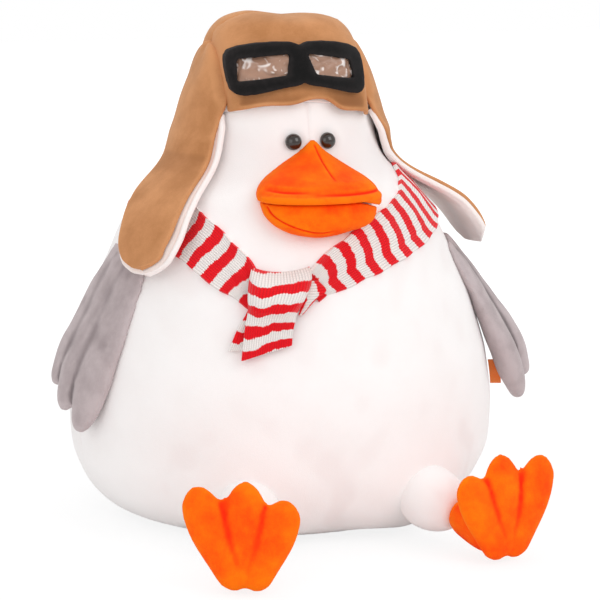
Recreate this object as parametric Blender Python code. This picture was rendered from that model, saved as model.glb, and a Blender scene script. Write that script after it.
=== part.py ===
"""A sitting plush duck in a flying hat and a knitted scarf, as a Blender 4.5 script in metres.

The duck faces -Y and sits on its flat base at z = 0, with +X on its own left. A place on the body is
given by its turn, in degrees from the front towards the duck's left, its height, and how far it stands
proud of the cloth.
"""

import math

import bmesh
import bpy
from mathutils import Matrix, Vector

# Body
BODY_HEIGHT = 0.3085
BODY_RADIUS = 0.136
BODY_DEPTH_SHARE = 0.94
# height share of the body, radius share of the body
BODY_SHARES = (
    (0.0, 0.676),
    (0.026, 0.824),
    (0.087, 0.941),
    (0.152, 0.989),
    (0.237, 1.0),
    (0.321, 0.978),
    (0.386, 0.937),
    (0.454, 0.886),
    (0.528, 0.812),
    (0.606, 0.732),
    (0.661, 0.645),
    (0.746, 0.47),
    (0.83, 0.423),
    (0.914, 0.353),
    (0.966, 0.29),
    (0.985, 0.25),
    (0.996, 0.16),
    (1.0, 0.02),
)
SKIN_WALL = 0.002
BASE_WALL = 0.002
FIT_GAP = 0.0003
PAD_GAP = 0.0008
CUT_OVERRUN = 0.005
SEAT_OVERRUN = 0.001

# Hat
HAT_LINING_WALL = 0.004
HAT_SUEDE_WALL = 0.003
HAT_PANEL_HALF_WIDTH = 0.042
HAT_SEAM_GAP = 0.0003
HAT_REACH = 0.09
# share of the way round from the front, brim height share of the body
BRIM_SHARES = ((0.0, 0.851), (0.14, 0.843), (0.27, 0.83), (0.67, 0.83), (0.74, 0.79), (1.0, 0.775))

# Ear flaps
LEFT_FLAP_DROP = 0.086
RIGHT_FLAP_DROP = 0.089
FLAP_LINING_WALL = 0.0035
FLAP_SUEDE_WALL = 0.0025
FLAP_ROOT_GAP = 0.0008
LEFT_FLAP_STANDOFF = 0.0115
RIGHT_FLAP_STANDOFF = 0.0085
LEFT_FLAP_FLARE = 0.0065
RIGHT_FLAP_FLARE = 0.002
FLAP_FLARE_POWER = 2.6
FLAP_HINGE_TURN = 83.0
FLAP_SHIFT_TURN = {"left": 26.0, "right": 0.0}
FLAP_SHIFT_SHARES = ((0.0, 0.0), (0.6, 1.0), (1.0, 1.0))
# drop share of the flap, front edge turn, back edge turn
FLAP_FRONT_SHARES = ((0.0, 50.0), (0.35, 50.0), (0.72, 48.0), (0.88, 50.0), (0.96, 54.0), (1.0, 57.5))
FLAP_BACK_SHARES = (
    (0.0, 117.0),
    (0.08, 112.0),
    (0.2, 101.0),
    (0.35, 92.0),
    (0.55, 82.0),
    (0.72, 75.0),
    (0.88, 71.0),
    (0.96, 67.0),
    (1.0, 62.0),
)
FLAP_FLARE_SHARES = ((0.0, 0.0), (0.25, 0.0), (0.8, 1.0), (1.0, 1.0))
FLAP_STANDOFF_SHARES = ((0.0, 0.05), (0.2, 0.25), (0.3, 0.45), (0.5, 0.5), (0.7, 0.85), (0.85, 1.0), (1.0, 1.0))

# Goggles
GOGGLE_CENTRE_X = -0.0025
GOGGLE_CENTRE_HEIGHT_SHARE = 0.9222
GOGGLE_CENTRE_HEIGHT = BODY_HEIGHT * GOGGLE_CENTRE_HEIGHT_SHARE
GOGGLE_HALF_WIDTH = 0.0435
GOGGLE_HALF_HEIGHT = 0.016
GOGGLE_WALL = 0.0055
GOGGLE_REACH = 0.1
LENS_WALL = 0.0012
LENS_GAP = 0.0004
# across and up shares of the right half of the outline, from the notch above the bridge to the one below
GOGGLE_SHARES = (
    (0.0, 0.87),
    (0.12, 0.98),
    (0.35, 1.0),
    (0.62, 0.93),
    (0.88, 0.72),
    (1.0, 0.3),
    (1.0, -0.45),
    (0.92, -0.88),
    (0.82, -1.0),
    (0.55, -0.86),
    (0.3, -0.68),
    (0.12, -0.62),
    (0.0, -0.52),
)
WINDOW_SHARES = ((0.22, 0.42), (0.74, 0.2), (0.76, -0.38), (0.24, -0.12))

# Beak
BEAK_TOP_SHARE = 0.7786
BEAK_MOUTH_SHARE = 0.6759
BEAK_BOTTOM_SHARE = 0.6078
BEAK_TOP = BODY_HEIGHT * BEAK_TOP_SHARE
BEAK_MOUTH = BODY_HEIGHT * BEAK_MOUTH_SHARE
BEAK_BOTTOM = BODY_HEIGHT * BEAK_BOTTOM_SHARE
BEAK_HALF_WIDTH = 0.037
BEAK_REACH = 0.023
BEAK_TOP_TURN = 2.4
BEAK_BOTTOM_TURN = -3.0
BEAK_PARTING = 0.0006
BEAK_EDGE = 0.0025
BEAK_CROWN_POWER = 2.2
# share of the way from the top to the mouth: half width share, reach share
UPPER_BEAK_WIDTH_SHARES = ((0.0, 0.035), (0.125, 0.15), (0.3, 0.39), (0.5, 0.655), (0.66, 0.85), (0.84, 0.98), (0.95, 1.0), (1.0, 0.985))
UPPER_BEAK_REACH_SHARES = ((0.0, 0.11), (0.13, 0.24), (0.3, 0.46), (0.5, 0.66), (0.66, 0.8), (0.84, 0.95), (0.95, 1.0), (1.0, 0.88))
# share of the way from the mouth to the bottom
LOWER_BEAK_WIDTH_SHARES = ((0.0, 0.94), (0.3, 0.86), (0.6, 0.71), (0.86, 0.45), (0.96, 0.24), (1.0, 0.1))
LOWER_BEAK_REACH_SHARES = ((0.0, 0.72), (0.15, 0.84), (0.5, 0.8), (0.85, 0.6), (1.0, 0.3))

# Eyes
EYE_RADIUS = 0.005
EYE_DOME = 0.0042
EYE_SEAT_GAP = 0.0009
EYE_SIDES = 16
EYE_SHANK_RADIUS = 0.0016
EYE_SHANK_LENGTH = 0.0075
EYE_HEIGHT_SHARE = 0.778
EYE_HEIGHT = BODY_HEIGHT * EYE_HEIGHT_SHARE
EYE_TURNS = {"left": 13.8, "right": -8.2}
WASHER_RADIUS = 0.006
WASHER_WALL = 0.0015
SHANK_CLEARANCE = 0.0004
POCKET_CLEARANCE = 0.001

# Scarf
SCARF_HALF_WIDTH = 0.0158
SCARF_WALL = 0.0035
SCARF_LIFT = 0.0005
# turn from the knot's left side round the neck to its right side, middle height share of the body
SCARF_SHARES = (
    (-9.0, 0.53),
    (5.0, 0.56),
    (20.0, 0.594),
    (35.0, 0.617),
    (50.0, 0.637),
    (65.0, 0.66),
    (90.0, 0.687),
    (130.0, 0.7),
    (180.0, 0.705),
    (230.0, 0.7),
    (270.0, 0.68),
    (296.0, 0.647),
    (310.0, 0.615),
    (324.0, 0.558),
    (334.0, 0.53),
)
KNOT_TURN = -17.5
KNOT_HEIGHT_SHARE = 0.5251
KNOT_HEIGHT = BODY_HEIGHT * KNOT_HEIGHT_SHARE
KNOT_HALF_TURN = 8.3
KNOT_HALF_HEIGHT = 0.012
KNOT_REACH = 0.0155
KNOT_EDGE = 0.005
TAIL_WALL = 0.0038
FRONT_TAIL_LENGTH = 0.03
BACK_TAIL_LENGTH = 0.027
FRONT_TAIL_HALF_WIDTH = 0.0142
FRONT_TAIL_LIFT = 0.0066
FRONT_TAIL_TURN = -17.5
BACK_TAIL_HALF_WIDTH = 0.011
BACK_TAIL_LIFT = 0.0008
BACK_TAIL_TOP_TURN = -21.5
BACK_TAIL_END_TURN = -25.0
BACK_TAIL_PIVOT_DROP = 0.0085
# drop share of the tail, half width share
BACK_TAIL_SHARES = ((0.0, 0.1), (0.05, 0.34), (0.14, 0.48), (0.28, 0.56), (0.5, 0.8), (1.0, 1.0))

# Side label, left bare
TAB_TURN = 72.0
TAB_HEIGHT_SHARE = 0.2496
TAB_HEIGHT = BODY_HEIGHT * TAB_HEIGHT_SHARE
TAB_LENGTH = 0.016
TAB_REACH = 0.007
TAB_HALF_WALL = 0.0006

# Wings
WING_ROOT_LIFT = 0.0022
LEFT_WING_TIP_LIFT = 0.026
RIGHT_WING_TIP_LIFT = 0.011
WING_LIFT_POWER = {"left": 1.3, "right": 2.5}
WING_SHIFT_TURN = {"left": 0.0, "right": -3.0}
FEATHER_HALF_WIDTH = 0.0168
FEATHER_HALF_DEPTH = 0.0078
# root turn, root height share of the body, tip turn, tip height share, width share
FEATHER_SHARES = (
    (68.5, 0.552, 73.0, 0.203, 1.0),
    (80.0, 0.562, 84.0, 0.245, 1.0),
    (91.5, 0.566, 95.0, 0.295, 0.96),
)
FEATHER_WIDTH_SHARES = ((0.0, 0.5), (0.04, 0.62), (0.2, 0.82), (0.5, 1.0), (0.75, 0.97), (0.9, 0.74), (0.97, 0.45), (1.0, 0.2))
FEATHER_DEPTH_SHARES = ((0.0, 0.28), (0.04, 0.32), (0.2, 0.42), (0.4, 0.58), (0.6, 0.84), (0.8, 0.95), (0.92, 0.7), (0.98, 0.4), (1.0, 0.2))

# Legs
HIP_TURN = 24.0
HIP_HEIGHT_SHARE = 0.0925
HIP_HEIGHT = BODY_HEIGHT * HIP_HEIGHT_SHARE
HIP_LIFT = 0.012
THIGH_RADIUS = 0.0195
THIGH_LENGTH = 0.026
SOCKET_CLEARANCE = 0.0009
LEFT_LEG_OUT = 0.0285
RIGHT_LEG_OUT = 0.0204
LEFT_LEG_FORWARD = 0.0515
RIGHT_LEG_FORWARD = 0.066
ANKLE_HEIGHT = 0.0145
ANKLE_ALONG = 0.031
ANKLE_RADIUS = 0.0115
ANKLE_SEAT_SHARE = 0.4
FOOT_TURN = {"left": 10.0, "right": 22.0}
FOOT_LEAN = 8.0
FOOT_LENGTH = 0.061
FOOT_HEEL_GAP = 0.0036
TOE_START_STEP = 0.003
TOE_HALF_WIDTH = 0.0125
TOE_HALF_DEPTH = 0.0068
# toe tip across share and along share of the foot's length, for each toe
TOE_SHARES = ((-0.35, 0.82), (0.01, 1.0), (0.45, 0.93))
TOE_WIDTH_SHARES = ((0.0, 0.45), (0.05, 0.75), (0.14, 0.93), (0.3, 0.91), (0.6, 0.96), (0.8, 0.92), (0.9, 0.7), (0.97, 0.4), (1.0, 0.16))
TOE_DEPTH_SHARES = ((0.0, 0.4), (0.05, 0.7), (0.14, 0.95), (0.4, 1.0), (0.7, 0.9), (0.9, 0.62), (1.0, 0.3))

SIDES = {"left": 1.0, "right": -1.0}
FLAP_STANDOFF = {"left": LEFT_FLAP_STANDOFF, "right": RIGHT_FLAP_STANDOFF}
FLAP_FLARE = {"left": LEFT_FLAP_FLARE, "right": RIGHT_FLAP_FLARE}
FLAP_DROP = {"left": LEFT_FLAP_DROP, "right": RIGHT_FLAP_DROP}
WING_TIP_LIFT = {"left": LEFT_WING_TIP_LIFT, "right": RIGHT_WING_TIP_LIFT}
LEG_OUT = {"left": LEFT_LEG_OUT, "right": RIGHT_LEG_OUT}
LEG_FORWARD = {"left": LEFT_LEG_FORWARD, "right": RIGHT_LEG_FORWARD}
NORMAL_STEP_SHARE = 0.0015
AROUND = 36
UP = 24
BALL_SIDES = 20
BALL_RINGS = 10
PROFILE_SAMPLES = 400

WHITE = ("white_plush", (0.93, 0.91, 0.9), 0.9)
FILLING = ("polyester_filling", (0.88, 0.88, 0.86), 1.0)
BROWN = ("brown_suede", (0.47, 0.24, 0.11), 0.85)
FLEECE = ("fleece_lining", (0.93, 0.84, 0.8), 0.95)
FELT = ("black_felt", (0.015, 0.013, 0.013), 0.9)
VINYL = ("clear_vinyl", (0.4, 0.24, 0.15), 0.15)
ORANGE = ("orange_velour", (1.0, 0.17, 0.0), 0.8)
GREY = ("grey_plush", (0.36, 0.3, 0.3), 0.9)
KNIT = ("striped_knit", (0.75, 0.02, 0.03), 0.9)
BEAD = ("glossy_bead", (0.02, 0.013, 0.01), 0.12)
RIBBON = ("orange_ribbon", (0.9, 0.15, 0.02), 0.6)
WASHER = ("plastic_washer", (0.8, 0.8, 0.78), 0.5)


def clear_scene():
    for obj in list(bpy.data.objects):
        bpy.data.objects.remove(obj, do_unlink=True)


def material_named(finish):
    name, colour, roughness = finish
    material = bpy.data.materials.get(name) or bpy.data.materials.new(name)
    material.use_nodes = True
    shader = material.node_tree.nodes["Principled BSDF"]
    shader.inputs["Base Color"].default_value = (*colour, 1.0)
    shader.inputs["Roughness"].default_value = roughness
    shader.inputs["Metallic"].default_value = 0.0
    return material


def read(shares, place):
    """Reads a smooth curve through (place, value) pairs, which never swings past them."""
    places = [pair[0] for pair in shares]
    values = [pair[1] for pair in shares]
    place = min(max(place, places[0]), places[-1])
    last = len(places) - 1
    k = max(i for i in range(last) if places[i] <= place)
    rises = [(values[i + 1] - values[i]) / (places[i + 1] - places[i]) for i in range(last)]

    def slope(i):
        if i == 0:
            return rises[0]
        if i == last:
            return rises[-1]
        before, after = rises[i - 1], rises[i]
        return 0.0 if before * after <= 0 else 2 * before * after / (before + after)

    span = places[k + 1] - places[k]
    t = (place - places[k]) / span
    start = (2 * t**3 - 3 * t**2 + 1) * values[k] + (t**3 - 2 * t**2 + t) * span * slope(k)
    end = (3 * t**2 - 2 * t**3) * values[k + 1] + (t**3 - t**2) * span * slope(k + 1)
    return start + end


def body_profile():
    """(height, radius) pairs up the body, evenly spaced along its side."""
    fine = PROFILE_SAMPLES
    samples = []
    for k in range(fine + 1):
        share = 0.5 - 0.5 * math.cos(math.pi * k / fine)
        samples.append((BODY_HEIGHT * share, BODY_RADIUS * read(BODY_SHARES, share)))
    walked = [0.0]
    for low, high in zip(samples, samples[1:]):
        walked.append(walked[-1] + math.dist(low, high))
    chosen = []
    for k in range(UP + 1):
        goal = walked[-1] * k / UP
        nearest = min(range(fine + 1), key=lambda i: abs(walked[i] - goal))
        chosen.append(samples[nearest])
    return chosen


def body_radius(height):
    """The radius of the sewn form, which runs straight from one ring to the next."""
    height = min(max(height, 0.0), BODY_HEIGHT)
    for (low, inner), (high, outer) in zip(PROFILE, PROFILE[1:]):
        if height <= high:
            return inner + (outer - inner) * (height - low) / (high - low)
    return PROFILE[-1][1]


def body_slope(height):
    """How fast the radius grows with height."""
    step = BODY_HEIGHT * NORMAL_STEP_SHARE
    low = max(height - step, 0.0)
    high = min(height + step, BODY_HEIGHT)
    return (body_radius(high) - body_radius(low)) / (high - low)


PROFILE = body_profile()


def outwards(turn):
    """The level direction away from the body's axis."""
    angle = math.radians(turn)
    return Vector((math.sin(angle), -math.cos(angle), 0.0))


def sideways(turn):
    """The level direction round the body, towards larger turns."""
    angle = math.radians(turn)
    return Vector((math.cos(angle), math.sin(angle), 0.0))


def on_ring(turn, radius, height):
    across = outwards(turn) * radius
    return Vector((across.x, across.y * BODY_DEPTH_SHARE, height))


def body_at(turn, height, proud=0.0):
    """The point at this height that stands this far off the body's side."""
    reach = proud * math.sqrt(1 + body_slope(height) ** 2)
    return on_ring(turn, body_radius(height) + reach, height)


def body_normal(turn, height):
    slope = body_slope(height)
    level = outwards(turn)
    return Vector((level.x, level.y / BODY_DEPTH_SHARE, -slope)).normalized()


def cover_at(turn, height, proud):
    """The point at this distance from the body's surface along its normal, which also serves the crown."""
    if height >= BODY_HEIGHT:
        return Vector((0.0, 0.0, BODY_HEIGHT + proud))
    return on_ring(turn, body_radius(height), height) + proud * body_normal(turn, height)


def piece_from(bm, name, finish=None, origin=None):
    """Makes an object of the mesh, with its origin on its joint's axis where it has one."""
    bmesh.ops.recalc_face_normals(bm, faces=bm.faces)
    mesh = bpy.data.meshes.new(name)
    bm.to_mesh(mesh)
    bm.free()
    mesh.shade_smooth()
    mesh.set_sharp_from_angle(angle=math.radians(50))
    piece = bpy.data.objects.new(name, mesh)
    bpy.context.scene.collection.objects.link(piece)
    if origin is not None:
        mesh.transform(Matrix.Translation(-origin))
        piece.location = origin
    if finish is None:
        piece.hide_render = True
        piece.display_type = "WIRE"
    else:
        mesh.materials.append(material_named(finish))
    return piece


def change(piece, tool, operation):
    """Cuts, trims or joins a piece with another shape."""
    boolean = piece.modifiers.new(f"{operation.lower()} {tool.name}", "BOOLEAN")
    boolean.operation = operation
    boolean.solver = "EXACT"
    boolean.object = tool


def skin_rings(bm, rings, closed_start, closed_end):
    """Joins rings of points into a tube, and closes its ends."""
    loops = [[bm.verts.new(point) for point in ring] for ring in rings]
    for below, above in zip(loops, loops[1:]):
        count = max(len(below), len(above))
        for i in range(count):
            quad = [below[i % len(below)], below[(i + 1) % len(below)]]
            quad += [above[(i + 1) % len(above)], above[i % len(above)]]
            corners = list(dict.fromkeys(quad))
            bm.faces.new(corners)
    for loop, closed in ((loops[0], closed_start), (loops[-1], closed_end)):
        if closed and len(loop) > 2:
            bm.faces.new(loop)
    return loops


def turned(name, profile, origin, axis, sides, finish=None, joint=None, ring=False):
    """Turns (along, radius) pairs about an axis; a radius of zero closes on it, and a ring joins end to start."""
    side = axis.orthogonal().normalized()
    other = axis.cross(side).normalized()
    rings = []
    for along, radius in profile:
        centre = origin + axis * along
        if radius == 0:
            rings.append([centre])
            continue
        angles = [math.tau * k / sides for k in range(sides)]
        rings.append([centre + radius * (math.cos(a) * side + math.sin(a) * other) for a in angles])
    bm = bmesh.new()
    loops = skin_rings(bm, rings, not ring, not ring)
    if ring:
        for i in range(sides):
            j = (i + 1) % sides
            bm.faces.new([loops[-1][i], loops[-1][j], loops[0][j], loops[0][i]])
    return piece_from(bm, name, finish, joint)


def slab(name, place, across, along, finish, joint=None):
    """A closed sheet between layer 0 and layer 1 of one curved grid: place(across share, along share, layer)."""
    bm = bmesh.new()
    layers = []
    for layer in (0, 1):
        grid = []
        for j in range(along + 1):
            row = [bm.verts.new(place(i / across, j / along, layer)) for i in range(across + 1)]
            grid.append(row)
        for j in range(along):
            for i in range(across):
                bm.faces.new([grid[j][i], grid[j][i + 1], grid[j + 1][i + 1], grid[j + 1][i]])
        layers.append(grid)
    rims = []
    for grid in layers:
        rim = grid[0] + [row[-1] for row in grid[1:]]
        rim += grid[-1][-2::-1] + [row[0] for row in grid[-2:0:-1]]
        rims.append(rim)
    count = len(rims[0])
    for i in range(count):
        j = (i + 1) % count
        bm.faces.new([rims[0][i], rims[0][j], rims[1][j], rims[1][i]])
    return piece_from(bm, name, finish, joint)


def stuffed(name, path, facing, half_widths, half_depths, steps, sides, finish=None, joint=None):
    """A stuffed tongue along a path: oval rings, wide across the path and thin towards where it faces."""
    rings = []
    for k in range(steps + 1):
        share = 0.5 - 0.5 * math.cos(math.pi * k / steps)
        nudge = 0.5 / steps
        tangent = (path(min(share + nudge, 1.0)) - path(max(share - nudge, 0.0))).normalized()
        across = tangent.cross(facing(share)).normalized()
        out = across.cross(tangent).normalized()
        centre = path(share)
        wide, deep = half_widths(share), half_depths(share)
        ring = []
        for i in range(sides):
            angle = math.tau * i / sides
            ring.append(centre + wide * math.cos(angle) * across + deep * math.sin(angle) * out)
        rings.append(ring)
    bm = bmesh.new()
    skin_rings(bm, rings, True, True)
    return piece_from(bm, name, finish, joint)


def block(name, low, high):
    """A plain box for trimming."""
    bm = bmesh.new()
    bmesh.ops.create_cube(bm, size=1.0)
    for vert in bm.verts:
        vert.co = Vector(b if c > 0 else a for a, b, c in zip(low, high, vert.co))
    return piece_from(bm, name)


def prism(name, outline, near, far):
    """An outline in X and Z, carried along Y from near to far."""
    rings = [[Vector((x, y, z)) for x, z in outline] for y in (near, far)]
    bm = bmesh.new()
    skin_rings(bm, rings, True, True)
    return piece_from(bm, name)


def body_solid(name, inset, floor, floor_inset, finish=None):
    """The body's form, drawn in by inset, closed by a flat floor at the given height."""
    turns = [360.0 * i / AROUND for i in range(AROUND)]
    floor_radius = body_radius(0.0) - floor_inset
    rings = [[on_ring(turn, floor_radius, floor) for turn in turns]]
    for height, _ in PROFILE[1:]:
        if height >= BODY_HEIGHT:
            rings.append([cover_at(0.0, BODY_HEIGHT, -inset)])
            continue
        ring = [cover_at(turn, height, -inset) for turn in turns]
        if ring[0].z > floor:
            rings.append(ring)
    bm = bmesh.new()
    skin_rings(bm, rings, True, False)
    return piece_from(bm, name, finish)


def hip_pivot(side):
    return body_at(SIDES[side] * HIP_TURN, HIP_HEIGHT, HIP_LIFT)


def heel(side):
    """Where the heel stands on the ground, in front of the hip and out to the side."""
    pivot = hip_pivot(side)
    return Vector((pivot.x + SIDES[side] * LEG_OUT[side], pivot.y - LEG_FORWARD[side], 0.0))


def leg_axis(side):
    """The line of the leg, from the hip down to the middle of the heel."""
    end = heel(side) + Vector((0.0, 0.0, ANKLE_HEIGHT))
    return (end - hip_pivot(side)).normalized()


def ball_profile(radius, front=None):
    """(along, radius) pairs of a ball, whose front may be drawn out to an egg."""
    front = front or radius
    profile = []
    for k in range(BALL_RINGS + 1):
        angle = math.pi * k / BALL_RINGS
        length = radius if angle < math.pi / 2 else front
        profile.append((-length * math.cos(angle), radius * math.sin(angle)))
    profile[0] = (profile[0][0], 0)
    profile[-1] = (profile[-1][0], 0)
    return profile


def eye_seat(side):
    turn = EYE_TURNS[side]
    return body_at(turn, EYE_HEIGHT), body_normal(turn, EYE_HEIGHT)


def shank_hole(name, side, radius, start, end):
    """A round cutter along an eye's shank."""
    seat, normal = eye_seat(side)
    profile = ((start, 0), (start, radius), (end, radius), (end, 0))
    return turned(name, profile, seat, normal, EYE_SIDES)


def make_body():
    """The sewn skin, open at the bottom, with a dimple for each leg, its base panel and its filling."""
    socket = THIGH_RADIUS + SOCKET_CLEARANCE
    skin = body_solid("body_skin", 0.0, 0.0, 0.0, WHITE)
    cavity = body_solid("skin_cavity", SKIN_WALL, -CUT_OVERRUN, SKIN_WALL)
    filling = body_solid("stuffing", SKIN_WALL + FIT_GAP, BASE_WALL + FIT_GAP, SKIN_WALL + FIT_GAP, FILLING)
    for side in SIDES:
        pivot = hip_pivot(side)
        axis = leg_axis(side)
        boss = turned(f"boss_{side}", ball_profile(socket + SKIN_WALL), pivot, axis, BALL_SIDES)
        change(cavity, boss, "DIFFERENCE")
        pad = turned(f"boss_pad_{side}", ball_profile(socket + SKIN_WALL + PAD_GAP), pivot, axis, BALL_SIDES)
        change(filling, pad, "DIFFERENCE")
        hole = turned(f"socket_{side}", ball_profile(socket), pivot, axis, BALL_SIDES)
        change(skin, hole, "DIFFERENCE")
        shank_radius = EYE_SHANK_RADIUS + SHANK_CLEARANCE
        change(skin, shank_hole(f"shank_hole_{side}", side, shank_radius, -CUT_OVERRUN, CUT_OVERRUN), "DIFFERENCE")
        depth = EYE_SHANK_LENGTH + POCKET_CLEARANCE
        pocket = shank_hole(f"washer_pocket_{side}", side, WASHER_RADIUS + POCKET_CLEARANCE, -depth, CUT_OVERRUN)
        change(filling, pocket, "DIFFERENCE")
    change(skin, cavity, "DIFFERENCE")
    radius = body_radius(0.0) - SKIN_WALL - FIT_GAP
    turns = [360.0 * i / AROUND for i in range(AROUND)]
    rings = [[on_ring(turn, radius, height) for turn in turns] for height in (0.0, BASE_WALL)]
    bm = bmesh.new()
    skin_rings(bm, rings, True, True)
    piece_from(bm, "base_panel", WHITE)


def make_eye(side):
    """A glossy bead on a shank, held inside the skin by a washer."""
    seat, normal = eye_seat(side)
    profile = [(-EYE_SHANK_LENGTH, 0), (-EYE_SHANK_LENGTH, EYE_SHANK_RADIUS), (EYE_SEAT_GAP, EYE_SHANK_RADIUS)]
    steps = 4
    for k in range(steps + 1):
        angle = math.pi / 2 * k / steps
        profile.append((EYE_SEAT_GAP + EYE_DOME * math.sin(angle), EYE_RADIUS * math.cos(angle)))
    profile[-1] = (EYE_SEAT_GAP + EYE_DOME, 0)
    turned(f"eye_{side}", profile, seat, normal, EYE_SIDES, BEAD)
    near = -SKIN_WALL - 2 * FIT_GAP
    far = near - WASHER_WALL
    hole = EYE_SHANK_RADIUS + SHANK_CLEARANCE
    loop = ((near, hole), (near, WASHER_RADIUS), (far, WASHER_RADIUS), (far, hole))
    turned(f"eye_washer_{side}", loop, seat, normal, EYE_SIDES, WASHER, ring=True)


def beak_pad(name, top, bottom, widths, reaches, steps):
    """Half of the stuffed beak: a crowned pad on the face between two heights."""

    def place(across, along, layer):
        height = top + (bottom - top) * along
        fall = (BEAK_TOP - height) / (BEAK_TOP - BEAK_BOTTOM)
        middle = BEAK_TOP_TURN + (BEAK_BOTTOM_TURN - BEAK_TOP_TURN) * fall
        offset = 2 * across - 1
        half = BEAK_HALF_WIDTH * read(widths, along)
        spread = math.degrees(half / (body_radius(height) + BEAK_EDGE)) * offset
        crown = math.sqrt(max(1 - abs(offset) ** BEAK_CROWN_POWER, 0.0))
        reach = BEAK_EDGE + (BEAK_REACH * read(reaches, along) - BEAK_EDGE) * crown
        return body_at(middle + spread, height, reach if layer else -SEAT_OVERRUN)

    return slab(name, place, 14, steps, ORANGE)


def make_beak(form):
    upper = beak_pad("beak_upper", BEAK_TOP, BEAK_MOUTH, UPPER_BEAK_WIDTH_SHARES, UPPER_BEAK_REACH_SHARES, 9)
    low = BEAK_MOUTH - BEAK_PARTING
    lower = beak_pad("beak_lower", low, BEAK_BOTTOM, LOWER_BEAK_WIDTH_SHARES, LOWER_BEAK_REACH_SHARES, 6)
    for half in (upper, lower):
        change(half, form, "DIFFERENCE")


def brim_height(turn):
    turn = abs((turn + 180.0) % 360.0 - 180.0)
    return BODY_HEIGHT * read(BRIM_SHARES, turn / 180.0)


def cap(name, near, far, finish=None, around=AROUND, up=6):
    """A dome over the head, from the brim to the crown, between two distances from the head."""
    turns = [360.0 * i / around for i in range(around)]

    def rings(proud):
        made = []
        for k in range(up):
            rise = math.sin(math.pi / 2 * k / up)
            ring = []
            for turn in turns:
                brim = brim_height(turn)
                point = cover_at(turn, brim + (BODY_HEIGHT - brim) * rise, proud)
                ring.append(point)
            made.append(ring)
        made.append([cover_at(0.0, BODY_HEIGHT, proud)])
        return made

    bm = bmesh.new()
    outer = skin_rings(bm, rings(far), False, False)
    inner = skin_rings(bm, rings(near), False, False)
    count = len(turns)
    for i in range(count):
        j = (i + 1) % count
        bm.faces.new([outer[0][i], outer[0][j], inner[0][j], inner[0][i]])
    return piece_from(bm, name, finish)


def hat_distance():
    """How far the outside of the hat stands from the head."""
    return FIT_GAP + HAT_LINING_WALL + FIT_GAP + HAT_SUEDE_WALL


def make_hat(form):
    """A fleece lining under a centre panel and two side panels, sewn along two fore and aft seams."""
    lining = cap("hat_lining", -SEAT_OVERRUN, FIT_GAP + HAT_LINING_WALL, FLEECE)
    change(lining, form, "DIFFERENCE")
    near = FIT_GAP + HAT_LINING_WALL + FIT_GAP
    centre = cap("hat_centre", near, hat_distance(), BROWN)
    half = HAT_PANEL_HALF_WIDTH
    ceiling = BODY_HEIGHT + HAT_REACH
    strip = block("hat_strip", (-half, -HAT_REACH, 0.0), (half, HAT_REACH, ceiling))
    change(centre, strip, "INTERSECT")
    for side, sign in SIDES.items():
        panel = cap(f"hat_side_{side}", near, hat_distance(), BROWN)
        edges = sorted((sign * (half + HAT_SEAM_GAP), sign * HAT_REACH))
        trim = block(f"side_strip_{side}", (edges[0], -HAT_REACH, 0.0), (edges[1], HAT_REACH, ceiling))
        change(panel, trim, "INTERSECT")


def flap_place(side, lining):
    """Where the layers of one ear flap lie, from its root under the hat down to its round tip."""
    near = 0.0 if lining else FLAP_LINING_WALL + FIT_GAP
    wall = FLAP_LINING_WALL if lining else FLAP_SUEDE_WALL
    root = brim_height(FLAP_HINGE_TURN) - FIT_GAP

    def place(across, along, layer):
        drop = math.sin(math.pi / 2 * along) if along < 1 else 1.0
        front = read(FLAP_FRONT_SHARES, drop)
        back = read(FLAP_BACK_SHARES, drop)
        shift = FLAP_SHIFT_TURN[side] * read(FLAP_SHIFT_SHARES, drop)
        turn = front + (back - front) * across + shift
        lift = FLAP_ROOT_GAP + FLAP_STANDOFF[side] * read(FLAP_STANDOFF_SHARES, drop)
        lift += FLAP_FLARE[side] * (1 - across) ** FLAP_FLARE_POWER * read(FLAP_FLARE_SHARES, drop)
        return body_at(SIDES[side] * turn, root - FLAP_DROP[side] * drop, lift + near + wall * layer)

    return place


def flap_hinge(side):
    """A point on the fold between hat and flap, on the outside of the suede."""
    outside = flap_place(side, False)
    root = brim_height(FLAP_HINGE_TURN) - FIT_GAP
    proud = (outside(0.5, 0.0, 1) - body_at(SIDES[side] * FLAP_HINGE_TURN, root)).length
    return body_at(SIDES[side] * FLAP_HINGE_TURN, root, proud)


def make_flap(side):
    joint = flap_hinge(side)
    slab(f"ear_flap_{side}", flap_place(side, False), 6, 11, BROWN, joint)
    slab(f"flap_lining_{side}", flap_place(side, True), 6, 11, FLEECE, joint)


def goggle_outline():
    half = [(across * GOGGLE_HALF_WIDTH, up * GOGGLE_HALF_HEIGHT) for across, up in GOGGLE_SHARES]
    loop = half + [(-x, z) for x, z in half[-2:0:-1]]
    return [(GOGGLE_CENTRE_X + x, GOGGLE_CENTRE_HEIGHT + z) for x, z in loop]


def window_outline(sign, shrink):
    """The opening for one lens, drawn in on every side by shrink."""
    corners = [(across * GOGGLE_HALF_WIDTH, up * GOGGLE_HALF_HEIGHT) for across, up in WINDOW_SHARES]
    middle_x = sum(x for x, _ in corners) / len(corners)
    middle_z = sum(z for _, z in corners) / len(corners)
    points = []
    for x, z in corners:
        x -= math.copysign(shrink, x - middle_x)
        z -= math.copysign(shrink, z - middle_z)
        points.append((GOGGLE_CENTRE_X + sign * x, GOGGLE_CENTRE_HEIGHT + z))
    return points


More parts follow.
